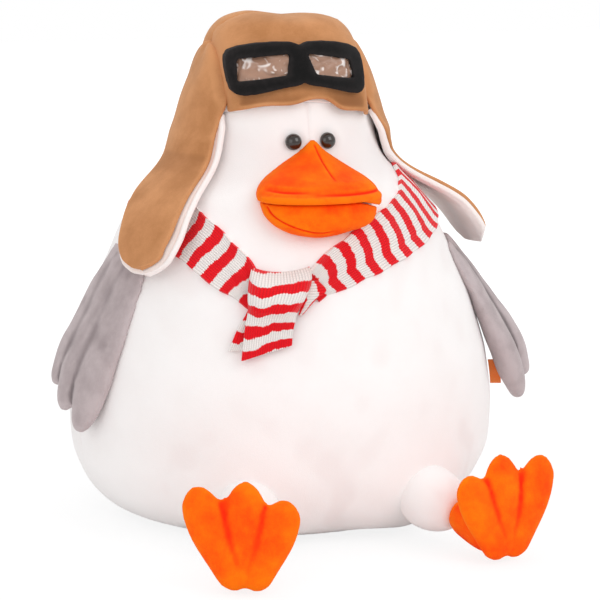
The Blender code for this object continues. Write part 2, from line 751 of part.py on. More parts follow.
def make_goggles():
    """A thick felt frame sewn over the hat's front, with a clear window in each side."""
    near = hat_distance() + FIT_GAP
    frame = cap("goggle_frame", near, near + GOGGLE_WALL, FELT)
    change(frame, prism("goggle_outline", goggle_outline(), -GOGGLE_REACH, 0.0), "INTERSECT")
    for side, sign in SIDES.items():
        window = prism(f"window_{side}", window_outline(sign, 0.0), -GOGGLE_REACH, 0.0)
        change(frame, window, "DIFFERENCE")
        lens = cap(f"goggle_lens_{side}", near, near + LENS_WALL, VINYL)
        change(lens, prism(f"lens_outline_{side}", window_outline(sign, LENS_GAP), -GOGGLE_REACH, 0.0), "INTERSECT")


def make_scarf(form):
    """A knitted band round the neck, its knot on the chest, and the two ends that hang from it."""

    def band(across, along, layer):
        start, end = SCARF_SHARES[0][0], SCARF_SHARES[-1][0]
        turn = start + (end - start) * along
        height = BODY_HEIGHT * read(SCARF_SHARES, turn) + SCARF_HALF_WIDTH * (1 - 2 * across)
        return body_at(turn, height, SCARF_LIFT + SCARF_WALL * layer)

    change(slab("scarf_band", band, 3, 52, KNIT), form, "DIFFERENCE")

    def knot(across, along, layer):
        offset, fall = 2 * across - 1, 2 * along - 1
        crown = math.sqrt(max((1 - offset**4) * (1 - fall**4), 0.0))
        reach = KNOT_EDGE + (KNOT_REACH - KNOT_EDGE) * crown
        turn = KNOT_TURN + KNOT_HALF_TURN * offset
        return body_at(turn, KNOT_HEIGHT - KNOT_HALF_HEIGHT * fall, reach if layer else -SEAT_OVERRUN)

    change(slab("scarf_knot", knot, 8, 8, KNIT), form, "DIFFERENCE")

    def front_tail(across, along, layer):
        height = tail_top() - FRONT_TAIL_LENGTH * along
        spread = math.degrees(FRONT_TAIL_HALF_WIDTH / body_radius(height)) * (2 * across - 1)
        return body_at(FRONT_TAIL_TURN + spread, height, FRONT_TAIL_LIFT + TAIL_WALL * layer)

    slab("scarf_tail_front", front_tail, 6, 6, KNIT, front_tail_hinge())

    def back_tail(across, along, layer):
        drop = 1 - math.cos(math.pi / 2 * along)
        height = tail_top() - BACK_TAIL_LENGTH * drop
        half = BACK_TAIL_HALF_WIDTH * read(BACK_TAIL_SHARES, drop)
        middle = BACK_TAIL_TOP_TURN + (BACK_TAIL_END_TURN - BACK_TAIL_TOP_TURN) * drop
        spread = math.degrees(half / body_radius(height)) * (2 * across - 1)
        return body_at(middle + spread, height, BACK_TAIL_LIFT + TAIL_WALL * layer)

    slab("scarf_tail_back", back_tail, 6, 8, KNIT, back_tail_pivot())


def tail_top():
    return KNOT_HEIGHT - KNOT_HALF_HEIGHT - FIT_GAP


def front_tail_hinge():
    return body_at(FRONT_TAIL_TURN, tail_top(), FRONT_TAIL_LIFT + TAIL_WALL)


def back_tail_pivot():
    return body_at(BACK_TAIL_TOP_TURN, tail_top() - BACK_TAIL_PIVOT_DROP, BACK_TAIL_LIFT)


def make_tab():
    """The folded ribbon sewn into the side seam, which is bare."""

    def place(across, along, layer):
        height = TAB_HEIGHT + TAB_LENGTH * along
        edge = body_at(TAB_TURN, height, FIT_GAP + TAB_REACH * across)
        return edge + sideways(TAB_TURN) * TAB_HALF_WALL * (2 * layer - 1)

    slab("side_tab", place, 2, 2, RIBBON)


def feather(name, side, shares, finish=None, joint=None):
    root_turn, root_share, tip_turn, tip_share, width_share = shares
    root_turn += WING_SHIFT_TURN[side]
    tip_turn += WING_SHIFT_TURN[side]
    rise = WING_TIP_LIFT[side] - WING_ROOT_LIFT
    sign = SIDES[side]

    def path(share):
        turn = root_turn + (tip_turn - root_turn) * share
        height = BODY_HEIGHT * (root_share + (tip_share - root_share) * share)
        lift = WING_ROOT_LIFT + rise * share ** WING_LIFT_POWER[side]
        return body_at(sign * turn, height, lift)

    def facing(share):
        return outwards(sign * (root_turn + (tip_turn - root_turn) * share))

    def half_width(share):
        return FEATHER_HALF_WIDTH * width_share * read(FEATHER_WIDTH_SHARES, share)

    def half_depth(share):
        return FEATHER_HALF_DEPTH * read(FEATHER_DEPTH_SHARES, share)

    return stuffed(name, path, facing, half_width, half_depth, 10, 12, finish, joint)


def wing_hinge(side):
    """A point on the shoulder seam, at the middle feather's root."""
    root_turn, root_share = FEATHER_SHARES[1][:2]
    root_turn += WING_SHIFT_TURN[side]
    return body_at(SIDES[side] * root_turn, BODY_HEIGHT * root_share, WING_ROOT_LIFT)


def make_wing(side, form):
    """Three stuffed feathers that are one wing, sewn to the shoulder by its top edge."""
    wing = feather(f"wing_{side}", side, FEATHER_SHARES[0], GREY, wing_hinge(side))
    for number, shares in enumerate(FEATHER_SHARES[1:], 2):
        change(wing, feather(f"feather_{side}_{number}", side, shares), "UNION")
    change(wing, form, "DIFFERENCE")


def ankle_pivot(side):
    return hip_pivot(side) + leg_axis(side) * ANKLE_ALONG


def foot_frame(side):
    """Across and along the upright foot, and the way its sole faces."""
    face = outwards(SIDES[side] * FOOT_TURN[side])
    across = sideways(SIDES[side] * FOOT_TURN[side])
    lean = math.radians(FOOT_LEAN)
    along = Vector((0.0, 0.0, 1.0)) * math.cos(lean) - face * math.sin(lean)
    return across, along, along.cross(across).normalized()


def toe(name, side, shares, finish=None, joint=None):
    across, along, face = foot_frame(side)
    aside, length_share = shares
    start = heel(side) + Vector((0.0, 0.0, FOOT_HEEL_GAP + TOE_START_STEP * abs(aside)))
    sign = SIDES[side]

    def path(share):
        sweep = math.sin(math.pi / 2 * share)
        reach = FOOT_LENGTH * length_share * share
        return start + across * (sign * aside * FOOT_LENGTH * sweep) + along * reach

    def half_width(share):
        return TOE_HALF_WIDTH * read(TOE_WIDTH_SHARES, share)

    def half_depth(share):
        return TOE_HALF_DEPTH * read(TOE_DEPTH_SHARES, share)

    return stuffed(name, path, lambda share: -face, half_width, half_depth, 10, 10, finish, joint)


def make_leg(side):
    """A white thigh that rolls in its dimple, and an orange ankle that rolls in the thigh's end."""
    pivot = hip_pivot(side)
    axis = leg_axis(side)
    ankle = ankle_pivot(side)
    thigh = turned(f"thigh_{side}", ball_profile(THIGH_RADIUS, THIGH_LENGTH), pivot, axis, BALL_SIDES, WHITE, pivot)
    hollow = turned(f"ankle_socket_{side}", ball_profile(ANKLE_RADIUS + SOCKET_CLEARANCE), ankle, axis, BALL_SIDES)
    change(thigh, hollow, "DIFFERENCE")
    foot = toe(f"foot_{side}", side, TOE_SHARES[0], ORANGE, ankle)
    for number, shares in enumerate(TOE_SHARES[1:], 2):
        change(foot, toe(f"toe_{side}_{number}", side, shares), "UNION")
    end = heel(side) + Vector((0.0, 0.0, ANKLE_HEIGHT)) - ankle
    reach = end.length - TOE_HALF_DEPTH * ANKLE_SEAT_SHARE
    profile = ball_profile(ANKLE_RADIUS)[: BALL_RINGS // 2 + 1] + [(reach, ANKLE_RADIUS), (reach, 0)]
    shank = turned(f"ankle_{side}", profile, ankle, axis, BALL_SIDES, ORANGE, ankle)
    for number, shares in enumerate(TOE_SHARES, 1):
        seat = toe(f"foot_seat_{side}_{number}", side, shares)
        grow = seat.modifiers.new("seat gap", "DISPLACE")
        grow.strength = FIT_GAP
        grow.mid_level = 0.0
        change(shank, seat, "DIFFERENCE")


def main():
    clear_scene()
    make_body()
    form = body_solid("body_form", -FIT_GAP, -CUT_OVERRUN, 0.0)
    make_beak(form)
    make_hat(form)
    make_goggles()
    make_scarf(form)
    make_tab()
    for side in SIDES:
        make_eye(side)
        make_flap(side)
        make_wing(side, form)
        make_leg(side)


main()
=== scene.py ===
import math

import bpy
import numpy as np
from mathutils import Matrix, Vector


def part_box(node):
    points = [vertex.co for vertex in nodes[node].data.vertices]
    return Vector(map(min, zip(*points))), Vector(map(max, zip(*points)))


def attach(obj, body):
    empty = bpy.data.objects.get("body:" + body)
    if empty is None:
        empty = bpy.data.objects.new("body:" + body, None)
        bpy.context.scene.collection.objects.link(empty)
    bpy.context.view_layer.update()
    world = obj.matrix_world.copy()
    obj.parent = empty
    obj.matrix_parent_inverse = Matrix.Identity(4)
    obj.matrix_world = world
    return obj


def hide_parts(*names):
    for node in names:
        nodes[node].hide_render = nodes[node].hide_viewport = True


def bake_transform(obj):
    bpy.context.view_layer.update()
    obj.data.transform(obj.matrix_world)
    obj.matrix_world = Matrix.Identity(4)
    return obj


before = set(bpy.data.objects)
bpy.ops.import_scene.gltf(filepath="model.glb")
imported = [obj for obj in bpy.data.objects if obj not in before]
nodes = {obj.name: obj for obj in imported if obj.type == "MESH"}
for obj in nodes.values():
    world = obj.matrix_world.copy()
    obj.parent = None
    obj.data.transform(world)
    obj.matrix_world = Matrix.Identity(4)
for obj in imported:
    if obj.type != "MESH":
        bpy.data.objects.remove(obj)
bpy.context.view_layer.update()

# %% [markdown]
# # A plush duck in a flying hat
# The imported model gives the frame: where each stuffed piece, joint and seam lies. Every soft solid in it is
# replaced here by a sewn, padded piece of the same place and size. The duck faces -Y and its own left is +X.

# %% [markdown]
# ## Camera
# The picture was taken with a long lens, a little above the duck and from its right. A long lens from far
# away keeps the round body from swelling, so the lens is set by its angle and the camera stands back.

# %% Camera
CAMERA_PLACE = Vector((-0.4313, -1.4105, 0.4051))
CAMERA_AIM = Vector((0.0122, -0.0038, 0.1318))
CAMERA_LENS = 140.6
bpy.ops.object.camera_add(location=CAMERA_PLACE)
camera = bpy.context.object
camera.rotation_euler = (CAMERA_AIM - CAMERA_PLACE).to_track_quat("-Z", "Y").to_euler()
camera.data.lens = CAMERA_LENS
camera.data.sensor_width = 36.0
camera.data.clip_end = 20.0
bpy.context.scene.camera = camera
print("camera stands", round((CAMERA_AIM - CAMERA_PLACE).length, 3), "m away")

# %% [markdown]
# ## Soft studio light
# White plush shows its form only through very soft shade. Two broad lamps from the front, a weak one from
# above and an even white world do that. A world brighter than the cloth would wash the shade out, so only
# camera and transmission rays see pure white. Shader trees are wired by a few small helpers, made first.

# %% World and lamps


def feed(tree, value, place):
    """Links a socket to a place, or sets a plain value there."""
    if isinstance(value, bpy.types.NodeSocket):
        tree.links.new(value, place)
    else:
        place.default_value = value


def node(tree, kind, inputs, out=0, **settings):
    """Adds a shader node, sets it up, feeds its inputs and gives back one output."""
    made = tree.nodes.new("ShaderNode" + kind)
    for key, value in settings.items():
        setattr(made, key, value)
    for place, value in inputs.items():
        feed(tree, value, made.inputs[place])
    return made.outputs[out] if made.outputs else None


def maths(tree, operation, *values, clamp=False):
    return node(tree, "Math", dict(enumerate(values)), operation=operation, use_clamp=clamp)


def span(tree, value, source, target, kind="LINEAR"):
    """Maps one range of values to another."""
    ends = {
        "Value": value, "From Min": source[0], "From Max": source[1],
        "To Min": target[0], "To Max": target[1],
    }
    return node(tree, "MapRange", ends, interpolation_type=kind)


def mixed(tree, factor, first, second, kind="MIX"):
    """Mixes two colours."""
    return node(tree, "Mix", {"Factor": factor, 6: first, 7: second}, 2, data_type="RGBA", blend_type=kind)


def lamp(name, place, aim, size, power):
    """A square soft box that faces a point."""
    bpy.ops.object.light_add(type="AREA", location=place)
    light = bpy.context.object
    light.name = name
    light.data.size = size
    light.data.energy = power
    light.rotation_euler = (Vector(aim) - Vector(place)).to_track_quat("-Z", "Y").to_euler()


WORLD_LIGHT, WORLD_SEEN = 0.74, 1.0
scene = bpy.context.scene
scene.view_settings.view_transform = "Standard"
world = scene.world or bpy.data.worlds.new("studio")
scene.world = world
world.use_nodes = True
tree = world.node_tree
tree.nodes.clear()
path = tree.nodes.new("ShaderNodeLightPath").outputs
seen = maths(tree, "MAXIMUM", path["Is Camera Ray"], path["Is Transmission Ray"])
plain_white = (1.0, 1.0, 1.0, 1.0)
even = node(tree, "Background", {"Color": plain_white, "Strength": WORLD_LIGHT})
white = node(tree, "Background", {"Color": plain_white, "Strength": WORLD_SEEN})
node(tree, "OutputWorld", {"Surface": node(tree, "MixShader", {"Fac": seen, 1: even, 2: white})})
lamp("key_lamp", (1.1, -1.7, 1.5), (0.0, 0.0, 0.15), 1.4, 13.5)
lamp("fill_lamp", (-1.6, -1.5, 0.9), (0.0, 0.0, 0.15), 1.6, 7.5)
lamp("top_lamp", (0.0, 0.4, 1.9), (0.0, 0.0, 0.2), 1.2, 6.0)

# %% [markdown]
# ## Small helpers for the pieces
# A plush toy is a set of flat cloth cuts, sewn and stuffed. Most pieces below start as a plain primitive with
# many points, a grid or a ball of even faces, and are then carried to their place on the body by one formula,
# as a sewer would ease cloth over a form. The formulas work on whole arrays, because there are many points.

# %% Helpers for modelling


def alone(piece):
    """Makes one object the only selected and active one."""
    bpy.ops.object.select_all(action="DESELECT")
    piece.select_set(True)
    bpy.context.view_layer.objects.active = piece
    return piece


def named(name):
    """Names the object that an operator has just made, and gives it an own mesh name."""
    piece = bpy.context.object
    piece.name = name
    piece.data.name = name
    return piece


def points_of(piece):
    """The points of a mesh as an array of rows."""
    flat = np.zeros(len(piece.data.vertices) * 3, np.float32)
    piece.data.vertices.foreach_get("co", flat)
    return flat.reshape(-1, 3).astype(float)


def set_points(piece, points):
    piece.data.vertices.foreach_set("co", np.asarray(points, np.float32).ravel())
    piece.data.update()
    return piece


def carry(piece, place):
    """Moves each point (a, b, c) of a piece to place(a, b, c)."""
    a, b, c = points_of(piece).T
    moved = place(a, b, c)
    return set_points(piece, np.stack([np.broadcast_to(m, a.shape) for m in moved], axis=1))


def in_edit(piece, *steps):
    """Runs edit-mode operators, each with its values, on a whole piece."""
    alone(piece)
    bpy.ops.object.mode_set(mode="EDIT")
    bpy.ops.mesh.select_all(action="SELECT")
    for operator, values in steps:
        operator(**values)
    bpy.ops.object.mode_set(mode="OBJECT")
    return piece


def outwards_faces(piece):
    """Turns all faces of a closed piece to the outside."""
    return in_edit(piece, (bpy.ops.mesh.normals_make_consistent, {"inside": False}))


def apply_modifier(piece, kind, **values):
    """Adds a modifier, sets it and applies it at once."""
    alone(piece)
    modifier = piece.modifiers.new(kind.lower(), kind)
    for key, value in values.items():
        setattr(modifier, key, value)
    bpy.ops.object.modifier_apply(modifier=modifier.name)
    return piece


def smoother(piece, levels=1):
    """Rounds a piece with a subdivision surface."""
    return apply_modifier(piece, "SUBSURF", levels=levels, render_levels=levels)


def soft_shade(piece, degrees=60):
    alone(piece)
    bpy.ops.object.shade_smooth_by_angle(angle=math.radians(degrees))
    return piece


def round_ball(name, cuts):
    """A ball of radius 1 with even square faces: a cube, cut up and blown round."""
    bpy.ops.object.select_all(action="DESELECT")
    bpy.ops.mesh.primitive_cube_add(size=2.0)
    piece = in_edit(
        named(name),
        (bpy.ops.mesh.subdivide, {"number_cuts": cuts}),
        (bpy.ops.transform.tosphere, {"value": 1.0}),
    )
    points = points_of(piece)
    return set_points(piece, points / np.linalg.norm(points, axis=1, keepdims=True))


def cloth_grid(name, across, along):
    """A flat cut of cloth from 0 to 1 both ways, with its UV map."""
    bpy.ops.object.select_all(action="DESELECT")
    bpy.ops.mesh.primitive_grid_add(x_subdivisions=across, y_subdivisions=along, size=1.0)
    return in_edit(named(name), (bpy.ops.transform.translate, {"value": (0.5, 0.5, 0.0)}))


def cut_and_laid(piece, place, thick, offset=1.0, rounded=True, flipped=False, eased=0):
    """Lays a flat cut in its place and gives it its thickness, its outward faces and its round edges."""
    carry(piece, place)
    if flipped:
        in_edit(piece, (bpy.ops.mesh.flip_normals, {}))
    if eased:
        ease(piece, 0.5, eased)
    apply_modifier(piece, "SOLIDIFY", thickness=thick, offset=offset)
    outwards_faces(piece)
    if rounded:
        smoother(piece)
    return soft_shade(piece)


def stuff(piece, voxel, pressure=4.0, cap=0.002, rounds=20):
    """Remeshes a piece evenly, blows it up as stuffed cloth, and limits how far a point moves."""
    if voxel:
        apply_modifier(piece, "REMESH", mode="VOXEL", voxel_size=voxel)
    before = points_of(piece)
    alone(piece)
    cloth = piece.modifiers.new("cloth", "CLOTH")
    cloth.settings.quality = 4
    cloth.settings.mass = 0.2
    cloth.settings.tension_stiffness = 15.0
    cloth.settings.compression_stiffness = 15.0
    cloth.settings.bending_stiffness = 0.6
    cloth.settings.use_pressure = True
    cloth.settings.uniform_pressure_force = pressure
    cloth.settings.effector_weights.gravity = 0.0
    cloth.point_cache.frame_start = 1
    cloth.point_cache.frame_end = rounds
    for number in range(1, rounds + 1):
        scene.frame_set(number)
    bpy.ops.object.modifier_apply(modifier=cloth.name)
    scene.frame_set(1)
    shift = points_of(piece) - before
    length = np.linalg.norm(shift, axis=1, keepdims=True)
    set_points(piece, before + shift * np.minimum(1.0, cap / np.maximum(length, 1e-9)))
    print(piece.name, "moved up to", round(float(length.max()) * 1000, 1), "mm, capped at", cap * 1000)
    return piece


def ease(piece, factor=0.5, times=4):
    """Smooths a piece as the cloth's tension does."""
    return apply_modifier(piece, "SMOOTH", factor=factor, iterations=times)


def normals_of(piece):
    flat = np.zeros(len(piece.data.vertices) * 3, np.float32)
    piece.data.vertices.foreach_get("normal", flat)
    return flat.reshape(-1, 3).astype(float)


def relief(piece, rounds=14, reach=0.00035):
    """Writes to each point whether it lies in a fold (-1) or on a ridge (1); the finish paints shade into the
    folds and light onto the ridges from it.
    """
    points = points_of(piece)
    count = len(points)
    ends = np.zeros(len(piece.data.edges) * 2, np.int32)
    piece.data.edges.foreach_get("vertices", ends)
    near, far = ends.reshape(-1, 2).T
    links = np.maximum(np.bincount(ends, minlength=count), 1)
    smooth = points
    for _ in range(rounds):
        sums = [
            np.bincount(near, smooth[far, k], count) + np.bincount(far, smooth[near, k], count)
            for k in range(3)
        ]
        smooth = np.stack(sums, axis=1) / links[:, None]
    depth = ((points - smooth) * normals_of(piece)).sum(axis=1)
    depth = np.clip((depth - np.median(depth)) / reach, -1.0, 1.0)
    layer = piece.data.attributes.new("relief", "FLOAT", "POINT")
    layer.data.foreach_set("value", depth.astype(np.float32))
    return piece


# %% [markdown]
# ## Reading curves and finding places on the body
# The pattern cutter's curves are pairs of a place and a value. A monotone cubic joins them, because it never
# swings past a value, and a seam drawn with it has no bumps. A place on the body is a turn from the front,
# a height, and how far it stands off the cloth.

# %% Curves and places
BODY_HEIGHT = 0.3085
BODY_RADIUS = 0.136
BODY_DEPTH = 0.94
BODY_CURVE = (
    (0.0, 0.676), (0.026, 0.824), (0.087, 0.941), (0.152, 0.989), (0.237, 1.0), (0.321, 0.978),
    (0.386, 0.937), (0.454, 0.886), (0.528, 0.812), (0.606, 0.732), (0.661, 0.645), (0.746, 0.47),
    (0.83, 0.423), (0.914, 0.353), (0.966, 0.29), (0.985, 0.25), (0.996, 0.16), (1.0, 0.02),
)
SIDES = {"left": 1.0, "right": -1.0}


def read(curve, place):
    """Reads a smooth curve through (place, value) pairs."""
    x = np.array([pair[0] for pair in curve], float)
    y = np.array([pair[1] for pair in curve], float)
    rise = np.diff(y) / np.diff(x)
    slope = np.concatenate([rise[:1], np.zeros(len(x) - 2), rise[-1:]])
    same = rise[:-1] * rise[1:] > 0
    both = np.where(same, rise[:-1] + rise[1:], 1.0)
    slope[1:-1] = np.where(same, 2 * rise[:-1] * rise[1:] / both, 0.0)
    place = np.clip(place, x[0], x[-1])
    k = np.clip(np.searchsorted(x, place, side="right") - 1, 0, len(x) - 2)
    span = x[k + 1] - x[k]
    t = (place - x[k]) / span
    start = (2 * t**3 - 3 * t**2 + 1) * y[k] + (t**3 - 2 * t**2 + t) * span * slope[k]
    return start + (3 * t**2 - 2 * t**3) * y[k + 1] + (t**3 - t**2) * span * slope[k + 1]


def girth(height):
    """The body's radius at a height."""
    return BODY_RADIUS * read(BODY_CURVE, np.asarray(height) / BODY_HEIGHT)


def lean(height):
    """How fast the radius grows with height."""
    step = 0.0008
    return (girth(height + step) - girth(height - step)) / (2 * step)


def ring_place(turn, radius, height):
    angle = np.radians(turn)
    return radius * np.sin(angle), -radius * np.cos(angle) * BODY_DEPTH, height + 0 * angle


def on_body(turn, height, proud):
    """A place at this height that stands this far off the side of the body."""
    return ring_place(turn, girth(height) + proud * np.sqrt(1 + lean(height) ** 2), height)


def spot_on_body(turn, height, proud):
    """One such place, as an array of its three numbers."""
    return np.array(on_body(turn, height, proud)).reshape(3)


def over_head(turn, height, proud):
    """A place this far off the head along its normal, which also serves the crown."""
    x, y, z = ring_place(turn, girth(height), height)
    slope = lean(height)
    angle = np.radians(turn)
    normal = np.stack([np.sin(angle), -np.cos(angle) / BODY_DEPTH, -slope + 0 * angle])
    normal = normal / np.linalg.norm(normal, axis=0)
    return x + proud * normal[0], y + proud * normal[1], z + proud * normal[2]


def step_up(low, high, value):
    """0 below low, 1 above high, and smooth between."""
    t = np.clip((value - low) / (high - low), 0.0, 1.0)
    return t * t * (3 - 2 * t)


def groove(distance, width):
    """1 on a line and 0 from half its width away: the shape of a sewn seam."""
    return 1 - step_up(0.0, width / 2, np.abs(distance))


def ripple(x, y, z, size, seed=0.0):
    """Gentle lumps about as long as size, between -1 and 1."""
    k = math.tau / size
    first = np.sin(k * (x + 0.37 * y) + seed) * np.cos(k * (0.83 * z - 0.41 * x) + 1.7 * seed)
    second = np.sin(k * 0.61 * (y - 0.52 * z) + 2.3 * seed + 1.0) * np.cos(k * 0.77 * (x + z) - seed)
    return 0.5 * (first + second)


def as_place(values):
    """A place as three plain numbers."""
    return Vector([float(v) for v in values])


print("girth at the neck:", round(float(girth(0.23)) * 1000, 1), "mm")

# %% [markdown]
# ## Cloth finishes
# All the cloth has a pile: thousands of short fibres that catch light at a grazing angle and lie in patches.
# Real hair would be far too heavy, so a shared node group mixes two shades in soft patches, paints shade into
# what the "relief" attribute marks as a fold and a highlight onto what it marks as a ridge, and gives a fine
# bumpy normal. Each cloth sets its own colours, its painted fold shade and its fibre size, and the sheen is
# set on the shader itself.

# %% The shared pile group


def new_group(name, inputs, outputs):
    """A node group with named sockets, and the sockets at its two ends."""
    group = bpy.data.node_groups.new(name, "ShaderNodeTree")
    for title, value in inputs.items():
        kind = "NodeSocketFloat" if isinstance(value, float) else "NodeSocketColor"
        group.interface.new_socket(name=title, in_out="INPUT", socket_type=kind).default_value = value
    for title, kind in outputs.items():
        group.interface.new_socket(name=title, in_out="OUTPUT", socket_type="NodeSocket" + kind)
    return group, group.nodes.new("NodeGroupInput").outputs, group.nodes.new("NodeGroupOutput").inputs


def pile_group():
    """Colour, roughness and normal of a cloth with a pile, with shade painted into its folds and light onto
    its ridges.
    """
    inputs = {
        "Colour": (0.8, 0.8, 0.8, 1.0), "Shade": (0.6, 0.6, 0.6, 1.0), "Painted fold shade": (0.3, 0.3, 0.3, 1.0),
        "Relief": 0.0, "Patches": 60.0, "Fibres": 1400.0, "Depth": 0.3,
    }
    outputs = {"Colour": "Color", "Roughness": "Float", "Normal": "Vector"}
    group, enter, leave = new_group("cloth_pile", inputs, outputs)
    where = node(group, "TexCoord", {}, "Object")
    broad = {"Vector": where, "Scale": enter["Patches"], "Detail": 4.0, "Roughness": 0.62}
    fine = {"Vector": where, "Scale": enter["Fibres"], "Detail": 3.0, "Roughness": 0.7}
    patches, fibres = node(group, "TexNoise", broad), node(group, "TexNoise", fine)
    ramp = group.nodes.new("ShaderNodeValToRGB")
    ramp.color_ramp.elements[0].position = 0.34
    ramp.color_ramp.elements[1].position = 0.68
    feed(group, patches, ramp.inputs["Fac"])
    fuzz = span(group, fibres, (0.3, 0.75), (-0.22, 0.22))
    # Ridges are painted lighter and folds darker, on top of the fibre speckle.
    fuzz_and_painted_relief_shading = maths(group, "MULTIPLY_ADD", enter["Relief"], 0.5, fuzz)
    lit = maths(group, "ADD", ramp.outputs["Color"], fuzz_and_painted_relief_shading, clamp=True)
    nap = mixed(group, lit, enter["Shade"], enter["Colour"])
    # The deeper a fold, the more of the painted fold shade colour it gets.
    inside = span(group, enter["Relief"], (-0.15, -1.0), (0.0, 1.0))
    feed(group, mixed(group, inside, nap, enter["Painted fold shade"]), leave["Colour"])
    feed(group, span(group, fibres, (0.0, 1.0), (0.72, 0.95)), leave["Roughness"])
    height = maths(group, "MULTIPLY_ADD", patches, 0.8, fibres)
    bump = node(group, "Bump", {"Distance": 0.0006, "Strength": enter["Depth"], "Height": height})
    feed(group, bump, leave["Normal"])
    return group


PILE = pile_group()


def grouped(name, group, inputs, constants):
    """A material whose surface comes from a node group; the constants stay on the shader itself."""
    material = bpy.data.materials.new(name)
    material.use_nodes = True
    tree = material.node_tree
    shader = tree.nodes["Principled BSDF"]
    core = tree.nodes.new("ShaderNodeGroup")
    core.node_tree = group
    for title, value in inputs.items():
        feed(tree, value, core.inputs[title])
    for title, output in core.outputs.items():
        tree.links.new(output, shader.inputs["Base Color" if title == "Colour" else title])
    for title, value in constants.items():
        shader.inputs[title].default_value = value
    return material


def cloth(name, colour, shade, fold, patches, fibres, depth, sheen, tint=(1.0, 1.0, 1.0)):
    """A cloth finish from the shared pile group; fold is the colour of the shade painted into its folds."""
    colours = {"Colour": (*colour, 1.0), "Shade": (*shade, 1.0), "Painted fold shade": (*fold, 1.0)}
    material = grouped(
        name, PILE, colours | {"Patches": patches, "Fibres": fibres, "Depth": depth},
        {
            "Specular IOR Level": 0.15, "Sheen Weight": sheen, "Sheen Roughness": 0.45,
            "Sheen Tint": (*tint, 1.0),
        },
    )
    tree = material.node_tree
    core = next(n for n in tree.nodes if n.type == "GROUP")
    feed(tree, node(tree, "Attribute", {}, "Fac", attribute_name="relief"), core.inputs["Relief"])
    return material


# The third colour of each cloth is the shade painted into its folds.
WHITE_PLUSH = cloth(
    "white plush", (0.95, 0.92, 0.912), (0.935, 0.9, 0.89), (0.915, 0.865, 0.855), 38.0, 1500.0, 0.3, 0.15,
)
BROWN_SUEDE = cloth(
    "brown suede", (0.63, 0.29, 0.125), (0.47, 0.2, 0.075), (0.27, 0.105, 0.038), 40.0, 1900.0, 0.3, 0.25,
    (1.0, 0.8, 0.6),
)
FLEECE = cloth(
    "pale fleece", (0.96, 0.89, 0.865), (0.95, 0.84, 0.8), (0.88, 0.66, 0.6), 70.0, 1100.0, 0.5, 0.2,
)
BLACK_FELT = cloth(
    "black felt", (0.017, 0.014, 0.014), (0.009, 0.008, 0.008), (0.004, 0.004, 0.004),
    220.0, 1500.0, 0.6, 0.06,
)
ORANGE_VELOUR = cloth(
    "orange velour", (1.0, 0.19, 0.0), (1.0, 0.07, 0.0), (0.93, 0.022, 0.0), 42.0, 1800.0, 0.28, 0.13,
    (1.0, 0.5, 0.05),
)
GREY_PLUSH = cloth(
    "grey plush", (0.53, 0.45, 0.455), (0.4, 0.33, 0.335), (0.17, 0.135, 0.14), 52.0, 1600.0, 0.35, 0.35,
    (1.0, 0.95, 0.95),
)
RIBBON = cloth(
    "orange ribbon", (1.0, 0.3, 0.09), (1.0, 0.24, 0.06), (0.9, 0.16, 0.03), 300.0, 2600.0, 0.3, 0.6,
    (1.0, 0.4, 0.1),
)
print("cloth finishes:", [m.name for m in bpy.data.materials if "shader" not in m.name])


def finish_piece(piece, material, body, slot_name, *replaced):
    """Dresses a piece, lets it ride on its body and hides the CAD nodes it stands for."""
    piece.data.materials.clear()
    piece.data.materials.append(material)
    relief(piece)
    if body:
        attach(piece, body)
    if replaced:
        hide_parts(*replaced)
    print(piece.name, "faces:", len(piece.data.polygons))
    return piece


# %% [markdown]
# ## The body and head
# One white skin makes the body and the head, wide at the bottom and drawn in at the neck. It could be a
# squashed ball, but a sewer cuts it as gores that are joined from the base to the crown. So it starts as a
# circle that is extruded ring by ring, is blown up a little as cloth, and then gets its seams and dimples.

# %% Body skin
BODY_SIDES = 128
BODY_RINGS = 84
rows = np.linspace(0.0, 1.0, BODY_RINGS + 1)
fine = np.linspace(0.0, math.pi, 4001)
fine_height = BODY_HEIGHT * (0.5 - 0.5 * np.cos(fine))
fine_radius = girth(fine_height)
walk = np.concatenate([[0.0], np.cumsum(np.hypot(np.diff(fine_height), np.diff(fine_radius)))])
ring_height = np.interp(rows * walk[-1], walk, fine_height)
ring_radius = np.interp(rows * walk[-1], walk, fine_radius)
bpy.ops.object.select_all(action="DESELECT")
bpy.ops.mesh.primitive_circle_add(vertices=BODY_SIDES, radius=float(ring_radius[0]))
body_skin = named("body_plush")
bpy.ops.object.mode_set(mode="EDIT")
bpy.ops.mesh.select_all(action="SELECT")
for low, high in zip(range(BODY_RINGS - 1), range(1, BODY_RINGS)):
    rise = float(ring_height[high] - ring_height[low])
    grow = float(ring_radius[high] / ring_radius[low])
    bpy.ops.mesh.extrude_region_move(TRANSFORM_OT_translate={"value": (0.0, 0.0, rise)})
    bpy.ops.transform.resize(value=(grow, grow, 1.0), center_override=(0.0, 0.0, float(ring_height[high])))
bpy.ops.mesh.extrude_region_move(TRANSFORM_OT_translate={"value": (0.0, 0.0, 0.0002)})
bpy.ops.mesh.merge(type="COLLAPSE")
bpy.ops.mesh.select_all(action="DESELECT")
bpy.ops.object.mode_set(mode="OBJECT")
heights = points_of(body_skin)[:, 2]
body_skin.data.vertices.foreach_set("select", heights < 1e-6)
bpy.ops.object.mode_set(mode="EDIT")
bpy.ops.mesh.extrude_region_move(TRANSFORM_OT_translate={"value": (0.0, 0.0, 0.0014)})
bpy.ops.transform.resize(value=(0.97, 0.97, 1.0), center_override=(0.0, 0.0, 0.0014))
bpy.ops.mesh.fill_grid(span=BODY_SIDES // 4)
bpy.ops.mesh.select_all(action="SELECT")
bpy.ops.transform.resize(value=(1.0, BODY_DEPTH, 1.0), center_override=(0.0, 0.0, 0.0))
bpy.ops.object.mode_set(mode="OBJECT")
outwards_faces(body_skin)
